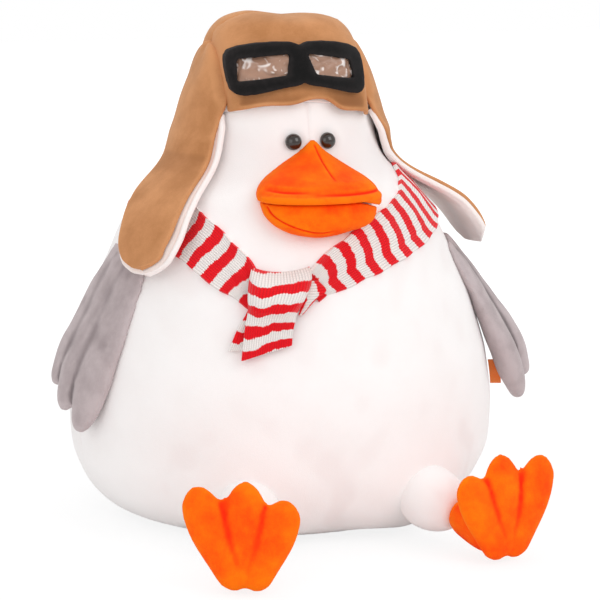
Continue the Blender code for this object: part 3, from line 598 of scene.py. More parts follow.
stuff(body_skin, None, pressure=2.0, cap=0.0012, rounds=12)
print("body rings:", BODY_RINGS, "points:", len(body_skin.data.vertices))

# %% [markdown]
# The stuffing pushes the skin out between its seams and the seams hold it in. The eyes are drawn in with
# thread, and the belly rises round each thigh, which is stuffed into it. These are small moves along the
# normal, made on the fine mesh, because a coarse one would turn a seam into a step.

# %% Body seams and dimples
HIP_PLACE = {side: (SIDES[side] * 24.0, 0.0285) for side in SIDES}
EYE_TURN = {"left": 12.5, "right": -8.2}
EYE_HEIGHT = 0.24
SIDE_SEAM_TURN = 84.0
EYE_DIMPLE, HIP_SWELL = 0.0011, 0.008
smoother(body_skin)
points = points_of(body_skin)
x, y, z = points.T
turn = np.degrees(np.arctan2(x, -y / BODY_DEPTH))
normals = normals_of(body_skin)
shift = 0.0006 * ripple(x, y, z, 0.085, 0.4) + 0.00035 * ripple(x, y, z, 0.034, 2.1)
front_seam = groove(x - 0.0012, 0.0036) * (y < 0) * step_up(0.236, 0.243, z)
back_seam = groove(x, 0.004) * (y > 0)
side_seam = groove(np.radians(np.abs(turn) - SIDE_SEAM_TURN) * np.hypot(x, y / BODY_DEPTH), 0.004)
pucker = 0.7 + 0.3 * np.sin(z * math.tau / 0.007)
shift -= 0.0008 * front_seam + 0.001 * back_seam * pucker + 0.0009 * side_seam * pucker
for side in SIDES:
    eye = spot_on_body(EYE_TURN[side], EYE_HEIGHT, 0.0)
    shift -= EYE_DIMPLE * (1 - step_up(0.004, 0.011, np.linalg.norm(points - eye, axis=1)))
    far = np.linalg.norm(points - spot_on_body(*HIP_PLACE[side], 0.0), axis=1)
    shift += HIP_SWELL * (1 - step_up(0.008, 0.058, far))
shift *= step_up(0.002, 0.012, z)
set_points(body_skin, points + normals * shift[:, None])
soft_shade(body_skin)
finish_piece(body_skin, WHITE_PLUSH, "body", "white_plush", "body_skin", "stuffing")

# %% [markdown]
# The base is a separate flat disc, because a toy that sits needs a flat bottom. It is thin, has a beveled
# rim and is as much narrower from front to back as the body is.

# %% Base panel
bpy.ops.object.select_all(action="DESELECT")
base_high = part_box("base_panel")[1]
bpy.ops.mesh.primitive_cylinder_add(
    vertices=96, radius=base_high.x - 0.0006, depth=0.0011, location=(0.0, 0.0, 0.00062),
)
base_panel = named("base_disc")
bpy.ops.object.transform_apply(location=True, rotation=True, scale=True)
flat = {"value": (1.0, BODY_DEPTH, 1.0), "center_override": (0.0, 0.0, 0.0)}
in_edit(base_panel, (bpy.ops.transform.resize, flat))
apply_modifier(base_panel, "BEVEL", width=0.0004, segments=2)
soft_shade(base_panel, 40)
finish_piece(base_panel, WHITE_PLUSH, "body", "white_plush", "base_panel")

# %% [markdown]
# ## Eyes
# Bead eyes are glossy plastic domes on a shank that goes through the skin. A ball flattened to a dome gives
# the right highlight. The finish is nearly black with a warm tone and a clear coat.

# %% Glossy beads


def plain_finish(name, colour, roughness, coat=0.0, alpha=1.0):
    material = bpy.data.materials.new(name)
    material.use_nodes = True
    shader = material.node_tree.nodes["Principled BSDF"]
    shader.inputs["Base Color"].default_value = (*colour, 1.0)
    shader.inputs["Roughness"].default_value = roughness
    shader.inputs["Coat Weight"].default_value = coat
    shader.inputs["Coat Roughness"].default_value = 0.06
    shader.inputs["Alpha"].default_value = alpha
    return material, shader


def speckled(material, shader, scale, low, high):
    """Lets the roughness wander a little, as handled plastic does."""
    tree = material.node_tree
    noise = node(tree, "TexNoise", {"Vector": node(tree, "TexCoord", {}, "Object"), "Scale": scale})
    feed(tree, span(tree, noise, (0.0, 1.0), (low, high)), shader.inputs["Roughness"])


BEAD, bead_shader = plain_finish("black bead", (0.022, 0.013, 0.009), 0.14, 0.6)
speckled(BEAD, bead_shader, 500.0, 0.1, 0.22)
WASHER, washer_shader = plain_finish("white washer", (0.8, 0.8, 0.78), 0.5)
speckled(WASHER, washer_shader, 300.0, 0.4, 0.6)
EYE_RADIUS, EYE_DOME, EYE_SUNK = 0.0051, 0.0043, 0.0016
for side in SIDES:
    seat = spot_on_body(EYE_TURN[side], EYE_HEIGHT, 0.0)
    angle = math.radians(EYE_TURN[side])
    out = np.array([math.sin(angle), -math.cos(angle), -float(lean(EYE_HEIGHT))])
    out = out / np.linalg.norm(out)
    across = np.cross([0.0, 0.0, 1.0], out)
    across = across / np.linalg.norm(across)
    up = np.cross(out, across)
    bead = round_ball(f"eye_bead_{side}", 15)

    def dome(a, b, c):
        depth = np.where(c > 0, EYE_DOME * c, EYE_SUNK * c) + 0.0004
        wide = across[:, None] * a + up[:, None] * b
        spots = seat[:, None] + EYE_RADIUS * wide + out[:, None] * depth
        return spots[0], spots[1], spots[2]

    carry(bead, dome)
    soft_shade(outwards_faces(bead))
    finish_piece(bead, BEAD, "body", "glossy_bead", f"eye_{side}")
    washer = nodes[f"eye_washer_{side}"]
    washer.data.materials.clear()
    washer.data.materials.append(WASHER)

# %% [markdown]
# ## Beak
# The bill is orange velour, sewn in two halves. The upper one slopes out from the face to a round front edge
# and a soft folded lip, and a ridge seam runs down its middle. The lower one tucks in under it like a spoon.
# Each half is a ball of even faces carried onto a crowned pad, so its rim is closed and round.

# %% Beak shapes
BEAK_TOP, BEAK_MOUTH, BEAK_BOTTOM = 0.2405, 0.208, 0.1872
BEAK_HALF = 0.0372
BEAK_REACH = 0.0225
DROOP = 0.005
BEAK_TURN, BEAK_SWING = 2.4, 5.4
BEAK_ROOT = 0.0014
UPPER_WIDTH = (
    (0.0, 0.05), (0.06, 0.105), (0.125, 0.165), (0.3, 0.39), (0.5, 0.655), (0.66, 0.85), (0.84, 0.98),
    (0.95, 1.0), (1.0, 0.985),
)
UPPER_REACH = (
    (0.0, 0.1), (0.13, 0.25), (0.3, 0.47), (0.5, 0.7), (0.62, 0.84), (0.74, 0.94), (0.86, 0.99), (0.95, 1.0),
    (1.0, 0.93),
)
LOWER_WIDTH = ((0.0, 0.96), (0.3, 0.91), (0.6, 0.77), (0.86, 0.5), (0.96, 0.28), (1.0, 0.12))
LOWER_REACH = ((0.0, 0.8), (0.2, 0.85), (0.5, 0.8), (0.8, 0.62), (0.93, 0.42), (1.0, 0.26))


def beak_place(top, bottom, widths, reaches, along, across, layer):
    """A place in a beak half: down it, across it, and from the face (0) to the front (1)."""
    height = top + (bottom - top) * along
    fall = (BEAK_TOP - height) / (BEAK_TOP - BEAK_BOTTOM)
    middle = BEAK_TURN - BEAK_SWING * fall
    half = BEAK_HALF * read(widths, along)
    spread = np.degrees(half / (girth(height) + 0.002)) * across
    crown = np.sqrt(np.maximum(1 - np.abs(across) ** 2.2, 0.0))
    reach = BEAK_ROOT + (BEAK_REACH * read(reaches, along) - BEAK_ROOT) * crown
    return middle + spread, height, reach * layer


def beak_half(name, top, bottom, widths, reaches, form):
    pad = round_ball(name, 27)

    def place(a, b, c):
        size = np.maximum(np.maximum(np.abs(a), np.abs(b)), np.abs(c))
        along = 0.5 - 0.5 * b / size
        across = a / size
        layer = 0.5 + 0.5 * c / size
        turn, height, proud = beak_place(top, bottom, widths, reaches, along, across, layer)
        sag = DROOP * step_up(0.4, 1.0, across * read(widths, along)) * step_up(0.205, 0.214, 0.4205 - height)
        return on_body(turn, height - sag, proud)

    carry(pad, place)
    outwards_faces(pad)
    stuff(pad, 0.0013, pressure=2.0, cap=0.0007, rounds=10)
    ease(pad, 0.5, 2)
    smoother(pad)
    points = points_of(pad)
    x, y, z = points.T
    along = np.clip((top - z) / (top - bottom), 0.0, 1.0)
    fall = (BEAK_TOP - z) / (BEAK_TOP - BEAK_BOTTOM)
    turn = np.degrees(np.arctan2(x, -y / BODY_DEPTH)) - BEAK_TURN + BEAK_SWING * fall
    aside = np.radians(turn) * girth(z)
    across = aside / (BEAK_HALF * read(widths, along))
    normals = normals_of(pad)
    front = step_up(0.1, 0.5, -normals[:, 1])
    return set_points(pad, points + normals * (form(along, across, aside) * front)[:, None])


def upper_form(along, across, aside):
    """Ridge seam, rolled lip, the fold above it and the pinch at its left end."""
    seam = -0.0008 * groove(aside - 0.0062 * along, 0.0022)
    seam = seam * (1 - step_up(0.58, 0.7, along)) * step_up(0.03, 0.1, along)
    ridge = 0.0009 * groove(aside - 0.0062 * along, 0.022) * (1 - step_up(0.55, 0.75, along))
    lip = 0.0012 * groove(along - 0.93, 0.2)
    on_right = step_up(0.05, 0.6, -across)
    crease = -0.0019 * groove(along - 0.8 - 0.06 * across, 0.13) * on_right
    bulge = 0.0012 * groove(along - 0.7, 0.26) * step_up(-0.5, 0.1, across)
    under = -0.0011 * groove(along - 0.84, 0.1) * step_up(-0.2, 0.3, across)
    pinch = -0.0028 * groove(across - 0.8, 0.16) * groove(along - 0.72, 0.22)
    return seam + ridge + lip + crease + bulge + under + pinch


def lower_form(along, across, aside):
    """The seam that joins the spoon's side to its front."""
    ring = np.hypot(across * 0.96 + 0.06, along * 0.9) - 0.74
    return -0.0012 * groove(ring, 0.09) * (1 - step_up(0.0, 0.3, across))


BEAK_HALVES = {
    "upper": (BEAK_TOP, BEAK_MOUTH, UPPER_WIDTH, UPPER_REACH, upper_form),
    "lower": (BEAK_MOUTH - 0.0008, BEAK_BOTTOM, LOWER_WIDTH, LOWER_REACH, lower_form),
}
for half, values in BEAK_HALVES.items():
    bill = soft_shade(beak_half(f"bill_{half}", *values))
    finish_piece(bill, ORANGE_VELOUR, "body", "orange_velour", f"beak_{half}")

# %% [markdown]
# ## Hat
# The flying hat is suede over a fleece lining: a wide centre panel runs over the crown from brow to nape,
# and a side panel on each side runs on down into an ear flap. Each panel is one flat cut of cloth, wrapped
# over the head by a formula and given its thickness afterwards, so at a seam the two rolled edges meet in a
# real valley.

# %% Hat shape
# How deep the shadow painted on the brow under the goggles goes, in relief.
BROW_PAINTED_SHADOW = 0.85
BRIM_CURVE = ((0.0, 0.851), (0.14, 0.843), (0.27, 0.83), (0.67, 0.83), (0.74, 0.79), (1.0, 0.775))
HAT_SEAM_X = 0.0422
HAT_PROUD = 0.0046
SUEDE_THICK = 0.003


def brim(turn):
    folded = np.abs((np.asarray(turn) + 180.0) % 360.0 - 180.0)
    return BODY_HEIGHT * read(BRIM_CURVE, folded / 180.0)


def hat_top(reach):
    """The height at which the head is only this far across."""
    table = np.linspace(0.2, BODY_HEIGHT, 400)
    return np.interp(-np.abs(reach), -girth(table), table)


def seam_turn(height):
    """The turn of the seam between centre and side panel at a height."""
    return np.degrees(np.arcsin(np.clip((HAT_SEAM_X - 0.0002) / girth(height), -1, 1)))


def panel_roll(distance):
    """How a panel's edge rolls in towards its seam."""
    return -0.0036 * (1 - step_up(0.0, 0.005, distance))


def brow_wave(x):
    """The brim over the face is not cut straight."""
    return 0.0012 * np.sin(x * 95.0 + 0.6) + 0.0008 * np.sin(x * 210.0) - 0.0038 * step_up(0.01, 0.022, x)


hat_centre = cloth_grid("hat_centre_panel", 60, 150)


def centre_place(a, b, c):
    x = HAT_SEAM_X * (2 * a - 1)
    t = 2 * b - 1
    brim_turn = np.degrees(np.arcsin(np.clip(x / 0.0665, -1, 1)))
    low = brim(np.where(t < 0, brim_turn, 180 - brim_turn)) + brow_wave(x) * (t < 0)
    top = hat_top(x * 0.93)
    height = low + (top - low) * np.cos(math.pi / 2 * np.abs(t))
    reach = girth(height)
    turn = np.degrees(np.arcsin(np.clip(x / np.maximum(reach, np.abs(x) + 1e-6), -1, 1)))
    turn = np.where(t < 0, turn, 180 - turn)
    puff = 0.0014 * ripple(x, t * 0.1, 0 * t, 0.05, 1.2) * (1 - np.abs(t))
    dip = -0.0018 * np.exp(-(((x - 0.004) / 0.012) ** 2)) * np.exp(-((t / 0.35) ** 2))
    proud = HAT_PROUD + panel_roll(HAT_SEAM_X - np.abs(x)) + puff + dip
    return over_head(turn, height, proud)


cut_and_laid(hat_centre, centre_place, SUEDE_THICK)
finish_piece(hat_centre, BROWN_SUEDE, "body", "brown_suede", "hat_centre")
# A shadow of the goggles is painted on the brow: the relief is lowered below them, so the finish gives it the
# fold shade.
x, y, z = points_of(hat_centre).T
relief_with_brow_shadow = np.zeros(len(z), np.float32)
layer = hat_centre.data.attributes["relief"]
layer.data.foreach_get("value", relief_with_brow_shadow)
relief_with_brow_shadow = relief_with_brow_shadow - BROW_PAINTED_SHADOW * (y < 0) * (1 - step_up(0.262, 0.273, z))
layer.data.foreach_set("value", relief_with_brow_shadow.astype(np.float32))

# %% [markdown]
# A side panel and its ear flap are one cut. Above the brim it follows the head. Below it the cloth leaves
# the head, fans out over the wing's shoulder and ends in a round tip. The fold between them is where the
# flap's joint turns.

# %% Side panels and ear flaps
FLAP_DROP = {"left": 0.086, "right": 0.089}
FLAP_FRONT = ((0.0, 50.0), (0.35, 50.0), (0.72, 48.0), (0.88, 50.0), (0.96, 54.0), (1.0, 57.5))
FLAP_BACK = (
    (0.0, 117.0), (0.08, 112.0), (0.2, 101.0), (0.35, 92.0), (0.55, 82.0),
    (0.72, 75.0), (0.88, 71.0), (0.96, 67.0), (1.0, 62.0),
)
FLAP_SHIFT = {"left": 26.0, "right": 0.0}
SHIFT_CURVE = ((0.0, 0.0), (0.6, 1.0), (1.0, 1.0))
FLAP_STANDOFF = {"left": 0.0115, "right": 0.0085}
FLAP_FLARE = {"left": 0.0065, "right": 0.002}
FLARE_CURVE = ((0.0, 0.0), (0.25, 0.0), (0.8, 1.0), (1.0, 1.0))
STANDOFF_CURVE = ((0.0, 0.05), (0.2, 0.25), (0.3, 0.45), (0.5, 0.5), (0.7, 0.85), (0.85, 1.0), (1.0, 1.0))
HINGE_TURN = 83.0
FLAP_SHARE = 0.62
SIDE_FRONT, SIDE_BACK = 49.0, 117.0
SIDE_THICK, FLEECE_THICK = 0.0027, 0.0034
FLEECE_RIM, FLEECE_CURL = 0.0046, 0.0032
FLAP_ROOT = float(brim(HINGE_TURN)) - 0.0003


def flap_lift(side, across, drop):
    lift = 0.0008 + FLAP_STANDOFF[side] * read(STANDOFF_CURVE, drop)
    if side == "left":
        lift = lift - 0.0068 * groove(drop - 0.38, 0.5) - 0.0042 * groove(drop - 0.53, 0.38)
        lift = lift + 0.0022 * step_up(0.7, 0.9, drop)
    else:
        lift = lift - 0.0028 * groove(drop - 0.4, 0.45)
    return lift + FLAP_FLARE[side] * np.clip(1 - across, 0, 1) ** 2.6 * read(FLARE_CURVE, drop)


def flap_edges(side, drop):
    """The turns of a flap's front and back edge at this share of its drop."""
    shift = FLAP_SHIFT[side] * read(SHIFT_CURVE, drop)
    return read(FLAP_FRONT, drop) + shift, read(FLAP_BACK, drop) + shift


def side_place(side):
    sign = SIDES[side]

    def place(a, b, c):
        drop = np.sin(math.pi / 2 * (1 - np.clip(b / FLAP_SHARE, 0, 1)))
        front, back = flap_edges(side, drop)
        front = front + 1.6 * step_up(0.0, 0.15, drop) * (1 - step_up(0.84, 0.95, drop))
        inner = flap_lift(side, a, drop) + 0.0038
        proud = inner + (HAT_PROUD - inner) * (1 - step_up(0.0, 0.18, drop))
        on_flap = on_body(front + (back - front) * a, FLAP_ROOT - FLAP_DROP[side] * drop, proud)
        climb = np.clip((b - FLAP_SHARE) / (1 - FLAP_SHARE), 0, 1)
        crown = float(hat_top(HAT_SEAM_X - 0.0002))
        height = FLAP_ROOT + (crown - FLAP_ROOT) * np.sin(math.pi / 2 * climb)
        seam = seam_turn(height)
        left = SIDE_FRONT + (seam - SIDE_FRONT) * step_up(0.0, 0.12, climb)
        right = SIDE_BACK + (180 - seam - SIDE_BACK) * step_up(0.0, 0.22, climb)
        turn = left + (right - left) * a
        edge = np.minimum(turn - seam, 180 - seam - turn) * math.pi / 180 * girth(height)
        proud = HAT_PROUD + panel_roll(np.maximum(edge, 0.0)) * step_up(0.0, 0.2, climb)
        proud = proud + 0.0013 * ripple(a * 0.09, b * 0.11, 0 * a, 0.05, sign) * step_up(0.05, 0.4, climb)
        x, y, z = (np.where(b < FLAP_SHARE, f, h) for f, h in zip(on_flap, over_head(turn, height, proud)))
        return sign * x, y, z

    return place


def lining_place(side):
    sign = SIDES[side]

    def place(a, b, c):
        drop = np.sin(math.pi / 2 * (1 - b))
        front, back = flap_edges(side, drop)
        around = np.degrees(FLEECE_RIM / (girth(FLAP_ROOT - FLAP_DROP[side] * drop) + 0.01))
        front = front - around * step_up(0.0, 0.1, drop)
        back = back + 0.5 * around * step_up(0.0, 0.2, drop)
        height = FLAP_ROOT - (FLAP_DROP[side] + 0.0036) * drop
        curl = (1 - step_up(0.0, 0.07, a)) * step_up(0.0, 0.12, drop) * (1 - step_up(0.86, 0.97, drop))
        proud = flap_lift(side, a, drop) + 0.0002 + FLEECE_CURL * curl
        x, y, z = on_body(front + (back - front) * a, height, proud)
        return sign * x, y, z

    return place


def blended_fold(piece, side):
    """Bakes a piece's place into its mesh."""
    place = as_place(on_body(SIDES[side] * HINGE_TURN, FLAP_ROOT, 0.006))
    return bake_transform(piece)


for side in SIDES:
    flipped = side == "right"
    panel = cloth_grid(f"hat_side_and_flap_{side}", 40, 120)
    cut_and_laid(panel, side_place(side), SIDE_THICK, flipped=flipped, eased=2)
    blended_fold(panel, side)
    finish_piece(panel, BROWN_SUEDE, None, "brown_suede", f"hat_side_{side}", f"ear_flap_{side}")
    lining = cloth_grid(f"flap_fleece_{side}", 36, 80)
    cut_and_laid(lining, lining_place(side), FLEECE_THICK, flipped=flipped)
    blended_fold(lining, side)
    finish_piece(lining, FLEECE, None, "fleece_lining", f"flap_lining_{side}")

# %% [markdown]
# Behind each flap a small gusset closes the hat down to the nape. It tucks under the side panel, as a patch
# that is sewn in from inside would, so the side panel can run into its flap without a kink.

# %% Nape gussets
GUSSET_FRONT, GUSSET_SPAN, GUSSET_TOP = 104.0, 36.0, 0.28
for side in SIDES:
    sign = SIDES[side]

    def gusset_place(a, b, c):
        low = brim(GUSSET_FRONT + GUSSET_SPAN * a) - 0.0003
        height = low + (GUSSET_TOP - low) * b
        seam = 180.0 - seam_turn(height)
        turn = GUSSET_FRONT + (seam - GUSSET_FRONT) * a
        edge = (seam - turn) * math.pi / 180 * girth(height)
        x, y, z = over_head(turn, height, HAT_PROUD - 0.0016 + panel_roll(edge) * 0.5)
        return sign * x, y, z

    gusset = cloth_grid(f"hat_nape_gusset_{side}", 24, 24)
    cut_and_laid(gusset, gusset_place, SIDE_THICK, flipped=side == "right")
    finish_piece(gusset, BROWN_SUEDE, "body", "brown_suede")

# %% [markdown]
# Under the suede the whole hat is lined with fleece. Hardly more than its edge shows along the brim, yet it
# is made as the full cap, because a view from below looks into it.

# %% Hat lining
HEAD_SIDES = 96
hat_lining = cloth_grid("hat_fleece_cap", HEAD_SIDES, 26)


def lining_cap(a, b, c):
    turn = 360.0 * a
    low = brim(turn) + 0.0011
    height = low + (BODY_HEIGHT - 0.0004 - low) * np.sin(math.pi / 2 * b)
    return over_head(turn, height, 0.0009)


in_edit(carry(hat_lining, lining_cap), (bpy.ops.mesh.remove_doubles, {"threshold": 0.0003}))
apply_modifier(hat_lining, "SOLIDIFY", thickness=0.0022, offset=1.0)
soft_shade(outwards_faces(hat_lining))
finish_piece(hat_lining, FLEECE, "body", "fleece_lining", "hat_lining")

# %% [markdown]
# ## Goggles
# The goggles are thick black felt, sewn on flat, with two windows of clear crinkled film over the suede. The
# outline with its two holes is drawn as one flat curve, given thickness, remeshed into small even faces and
# then laid over the curved brow, because a flat face can't bend and small ones can.

# %% Goggle frame
GOGGLE_X, GOGGLE_Z = -0.0025, 0.2845
GOGGLE_HALF = (0.0435, 0.016)
GOGGLE_THICK = 0.0046
WINDOW_ROUND = 0.0016
GOGGLE_OUTLINE = (
    (0.0, 0.86), (0.05, 0.93), (0.12, 0.99), (0.35, 1.0), (0.6, 0.94), (0.8, 0.82), (0.93, 0.66),
    (0.985, 0.42), (1.0, 0.0), (0.99, -0.5), (0.97, -0.8), (0.9, -0.97), (0.82, -1.0), (0.68, -0.95),
    (0.45, -0.8), (0.25, -0.68), (0.12, -0.63), (0.05, -0.58), (0.0, -0.5),
)
WINDOW_CORNERS = {
    "left": ((0.09, 0.56), (0.75, 0.28), (0.79, -0.45), (0.19, -0.22)),
    "right": ((0.17, 0.56), (0.86, 0.34), (0.89, -0.5), (0.22, -0.24)),
}


def hat_front(x, z, proud):
    """The place this far off the front of the head that has this x and z."""
    height = np.asarray(z, float)
    for _ in range(16):
        slope = lean(height)
        height = 0.5 * height + 0.5 * (z + proud * slope / np.sqrt(1 + slope**2))
    reach = girth(height) + proud / np.sqrt(1 + lean(height) ** 2)
    return over_head(np.degrees(np.arcsin(np.clip(x / reach, -0.98, 0.98))), height, proud)


def window_corners(side):
    return [np.array([a * GOGGLE_HALF[0], b * GOGGLE_HALF[1]]) for a, b in WINDOW_CORNERS[side]]


def closed_line(data, spots):
    line = data.splines.new("POLY")
    line.points.add(len(spots) - 1)
    for point, (x, z) in zip(line.points, spots):
        point.co = (x, z, 0.0, 1.0)
    line.use_cyclic_u = True


def window(side):
    """A window with rounded corners."""
    sign = SIDES[side]
    corners = window_corners(side)
    spots = []
    for k, corner in enumerate(corners):
        before, after = corners[k - 1], corners[(k + 1) % 4]
        start = corner + (before - corner) / np.linalg.norm(before - corner) * WINDOW_ROUND
        end = corner + (after - corner) / np.linalg.norm(after - corner) * WINDOW_ROUND
        for t in (0.0, 0.33, 0.67, 1.0):
            spots.append((1 - t) ** 2 * start + 2 * t * (1 - t) * corner + t * t * end)
    return [(float(GOGGLE_X + sign * s[0]), float(GOGGLE_Z + s[1])) for s in spots]


outline_half = [(a * GOGGLE_HALF[0], b * GOGGLE_HALF[1]) for a, b in GOGGLE_OUTLINE]
outline = outline_half + [(-a, b) for a, b in outline_half[-2:0:-1]]
bpy.ops.object.select_all(action="DESELECT")
bpy.ops.curve.primitive_bezier_circle_add(radius=0.01)
goggles = named("goggle_felt")
goggles.data.splines.clear()
goggles.data.dimensions = "2D"
goggles.data.fill_mode = "BOTH"
goggles.data.extrude = GOGGLE_THICK / 2
closed_line(goggles.data, [(GOGGLE_X + a, GOGGLE_Z + b) for a, b in outline])
for side in SIDES:
    closed_line(goggles.data, window(side))
alone(goggles)
bpy.ops.object.convert(target="MESH")
apply_modifier(goggles, "REMESH", mode="VOXEL", voxel_size=0.0007)
ease(goggles, 0.5, 5)


def felt_place(a, b, c):
    proud = HAT_PROUD + SUEDE_THICK + 0.0006 + c + GOGGLE_THICK / 2
    return hat_front(a, b, proud + 0.0004 * ripple(a, b, c, 0.02))


soft_shade(outwards_faces(carry(goggles, felt_place)))
finish_piece(goggles, BLACK_FELT, "body", "black_felt", "goggle_frame")

# %% [markdown]
# The windows are a stiff clear film that has creased. The creases are what shows, as white streaks of
# reflected light, which are painted into the film's colour and opacity by a noise mask. The film is mostly
# see-through, glossy, and bent in the mesh, and a fine wave in its normal breaks the streaks up.

# %% Goggle windows
FILM, film_shader = plain_finish("clear film", (0.5, 0.3, 0.21), 0.22, 0.35, 0.6)
tree = FILM.node_tree
where = node(tree, "TexCoord", {}, "Object")
wave = node(tree, "TexNoise", {"Vector": where, "Scale": 95.0, "Detail": 1.0, "Distortion": 2.6})
# White streaks of reflected light are painted into the film here.
painted_reflection_streak = span(tree, wave, (0.54, 0.72), (0.0, 1.0), "SMOOTHSTEP")
tint = mixed(tree, painted_reflection_streak, (0.56, 0.33, 0.23, 1.0), (0.95, 0.86, 0.82, 1.0))
feed(tree, tint, film_shader.inputs["Base Color"])
feed(tree, span(tree, painted_reflection_streak, (0.0, 1.0), (0.55, 0.9)), film_shader.inputs["Alpha"])
bump = node(tree, "Bump", {"Strength": 0.6, "Distance": 0.003, "Height": wave})
feed(tree, bump, film_shader.inputs["Normal"])
FILM_GROW = 0.15
for side, sign in SIDES.items():
    corners = window_corners(side)

    def film_place(a, b, c):
        top = corners[0][None] * (1 - a[:, None]) + corners[1][None] * a[:, None]
        low = corners[3][None] * (1 - a[:, None]) + corners[2][None] * a[:, None]
        spot = low * (1 - b[:, None]) + top * b[:, None]
        across, up = (spot + FILM_GROW * (spot - sum(corners) / 4)).T
        crease = 0.0006 * np.sin(330 * (across * 0.5 + up) + 2.0 * sign)
        crease = crease + 0.0004 * np.sin(700 * up - 260 * across)
        proud = HAT_PROUD + SUEDE_THICK + 0.0026 + crease
        return hat_front(GOGGLE_X + sign * across, GOGGLE_Z + up, proud)

    film = cloth_grid(f"goggle_film_{side}", 60, 36)
    cut_and_laid(film, film_place, 0.0003, 0.0, rounded=False)
    finish_piece(film, FILM, "body", "clear_vinyl", f"goggle_lens_{side}")

# %% [markdown]
# ## Scarf
# The scarf is a narrow knitted band with even red and off-white stripes across it. Stripes could be cut into
# the mesh, but a knitter changes yarn, so they belong to the finish and follow the cloth's own UV map, which
# is measured in metres along the band. A second node group draws them, and the stitches as small V shapes
# with painted shade between them and a slight painted highlight on their tops.

# %% Knit finish
STRIPE = 0.0072
COLUMN, ROW = 0.00155, 0.00125
KNIT_RED = (0.87, 0.002, 0.01)
KNIT_CREAM = (0.93, 0.87, 0.84)


def knit_group():
    """Stripes and stitches from a UV map in metres."""
    inputs = {
        "Width": 0.034, "Length": 0.6, "Start": 0.0, "Stripe": STRIPE,
        "Red": (*KNIT_RED, 1.0), "Cream": (*KNIT_CREAM, 1.0),
    }
    group, enter, leave = new_group("knit_stitches", inputs, {"Colour": "Color", "Normal": "Vector"})

    def sum_of(operation, *values):
        return maths(group, operation, *values)

    where = node(group, "UVMap", {}, "UV", uv_map="UVMap")
    split = group.nodes.new("ShaderNodeSeparateXYZ")
    feed(group, where, split.inputs["Vector"])
    aside, ahead = split.outputs["X"], split.outputs["Y"]
    along = sum_of("MULTIPLY_ADD", ahead, enter["Length"], enter["Start"])
    in_column = sum_of("FRACT", sum_of("MULTIPLY", sum_of("MULTIPLY", aside, enter["Width"]), 1 / COLUMN))
    vee = sum_of("MULTIPLY", sum_of("ABSOLUTE", sum_of("SUBTRACT", in_column, 0.5)), 0.0011)
    bowed = sum_of("MULTIPLY", sum_of("SINE", sum_of("MULTIPLY_ADD", aside, 6.2, 0.4)), 0.0017)
    wander = node(group, "TexNoise", {"Vector": where, "Scale": 5.0})
    loose = sum_of("MULTIPLY_ADD", wander, 0.006, -0.003)
    place = sum_of("ADD", sum_of("ADD", sum_of("ADD", along, bowed), loose), vee)
    phase = sum_of("SINE", sum_of("MULTIPLY", sum_of("DIVIDE", place, enter["Stripe"]), math.pi))
    mask = span(group, phase, (-0.16, 0.16), (0.0, 1.0), "SMOOTHSTEP")
    row = sum_of("FRACT", sum_of("MULTIPLY", sum_of("ADD", along, vee), 1 / ROW))
    bead = sum_of("SINE", sum_of("MULTIPLY", row, math.pi))
    rib = sum_of("SINE", sum_of("MULTIPLY", in_column, math.pi))
    height = sum_of("MULTIPLY", sum_of("POWER", rib, 0.7), sum_of("MULTIPLY_ADD", bead, 0.5, 0.5))
    # The stitch height paints shade into the hollows between stitches and a slight highlight onto their tops.
    shade = span(group, height, (0.0, 1.0), (0.8, 1.08))
    grey = node(group, "CombineColor", dict.fromkeys(("Red", "Green", "Blue"), shade))
    yarn = mixed(group, mask, enter["Cream"], enter["Red"])
    feed(group, mixed(group, 1.0, yarn, grey, "MULTIPLY"), leave["Colour"])
    feed(group, node(group, "Bump", {"Strength": 0.7, "Distance": 0.0008, "Height": height}), leave["Normal"])
    return group


KNIT = knit_group()


def knit(name, width, length, start):
    lengths = {"Width": width, "Length": length, "Start": start}
    return grouped(name, KNIT, lengths, {"Roughness": 0.9, "Specular IOR Level": 0.15, "Sheen Weight": 0.2})


# %% [markdown]
# The band goes round the neck under the ear flaps and meets in a knot on the chest, where it narrows. It is
# one long cut of cloth laid on the body by its turn and height. Knitted edges curl and wander, so they get
# small waves, and the band's own thickness is added last.

# %% Scarf band
SCARF_CURVE = (
    (-7.0, 0.508), (-4.4, 0.522), (-0.6, 0.536), (6.0, 0.556), (13.8, 0.575), (21.3, 0.59), (28.8, 0.603),
    (37.0, 0.616), (50.0, 0.637), (65.0, 0.66), (90.0, 0.687), (130.0, 0.7), (180.0, 0.705), (230.0, 0.7),
    (270.0, 0.68), (296.0, 0.641), (309.0, 0.611), (318.0, 0.587), (324.4, 0.561), (330.6, 0.537),
    (334.6, 0.515), (338.0, 0.498),
)
SCARF_HALVES = (
    (-7.0, 0.0068), (-4.4, 0.0078), (-0.6, 0.0102), (6.0, 0.0119), (13.8, 0.0134), (21.3, 0.014),
    (50.0, 0.0147), (90.0, 0.0166), (270.0, 0.0166), (300.0, 0.0136), (324.0, 0.0128), (330.6, 0.0113),
    (334.6, 0.009), (338.0, 0.008),
)
SCARF_START, SCARF_END = SCARF_CURVE[0][0], SCARF_CURVE[-1][0]


def band_line(share):
    turn = SCARF_START + (SCARF_END - SCARF_START) * share
    return turn, BODY_HEIGHT * read(SCARF_CURVE, turn)


shares = np.linspace(0.0, 1.0, 2001)
line = np.stack(on_body(*band_line(shares), 0.003), axis=1)
steps = np.linalg.norm(np.diff(line, axis=0), axis=1)
BAND_LENGTH = float(steps.sum())
walked = np.concatenate([[0.0], np.cumsum(steps)]) / BAND_LENGTH
scarf_band = cloth_grid("scarf_neckband", 22, 420)


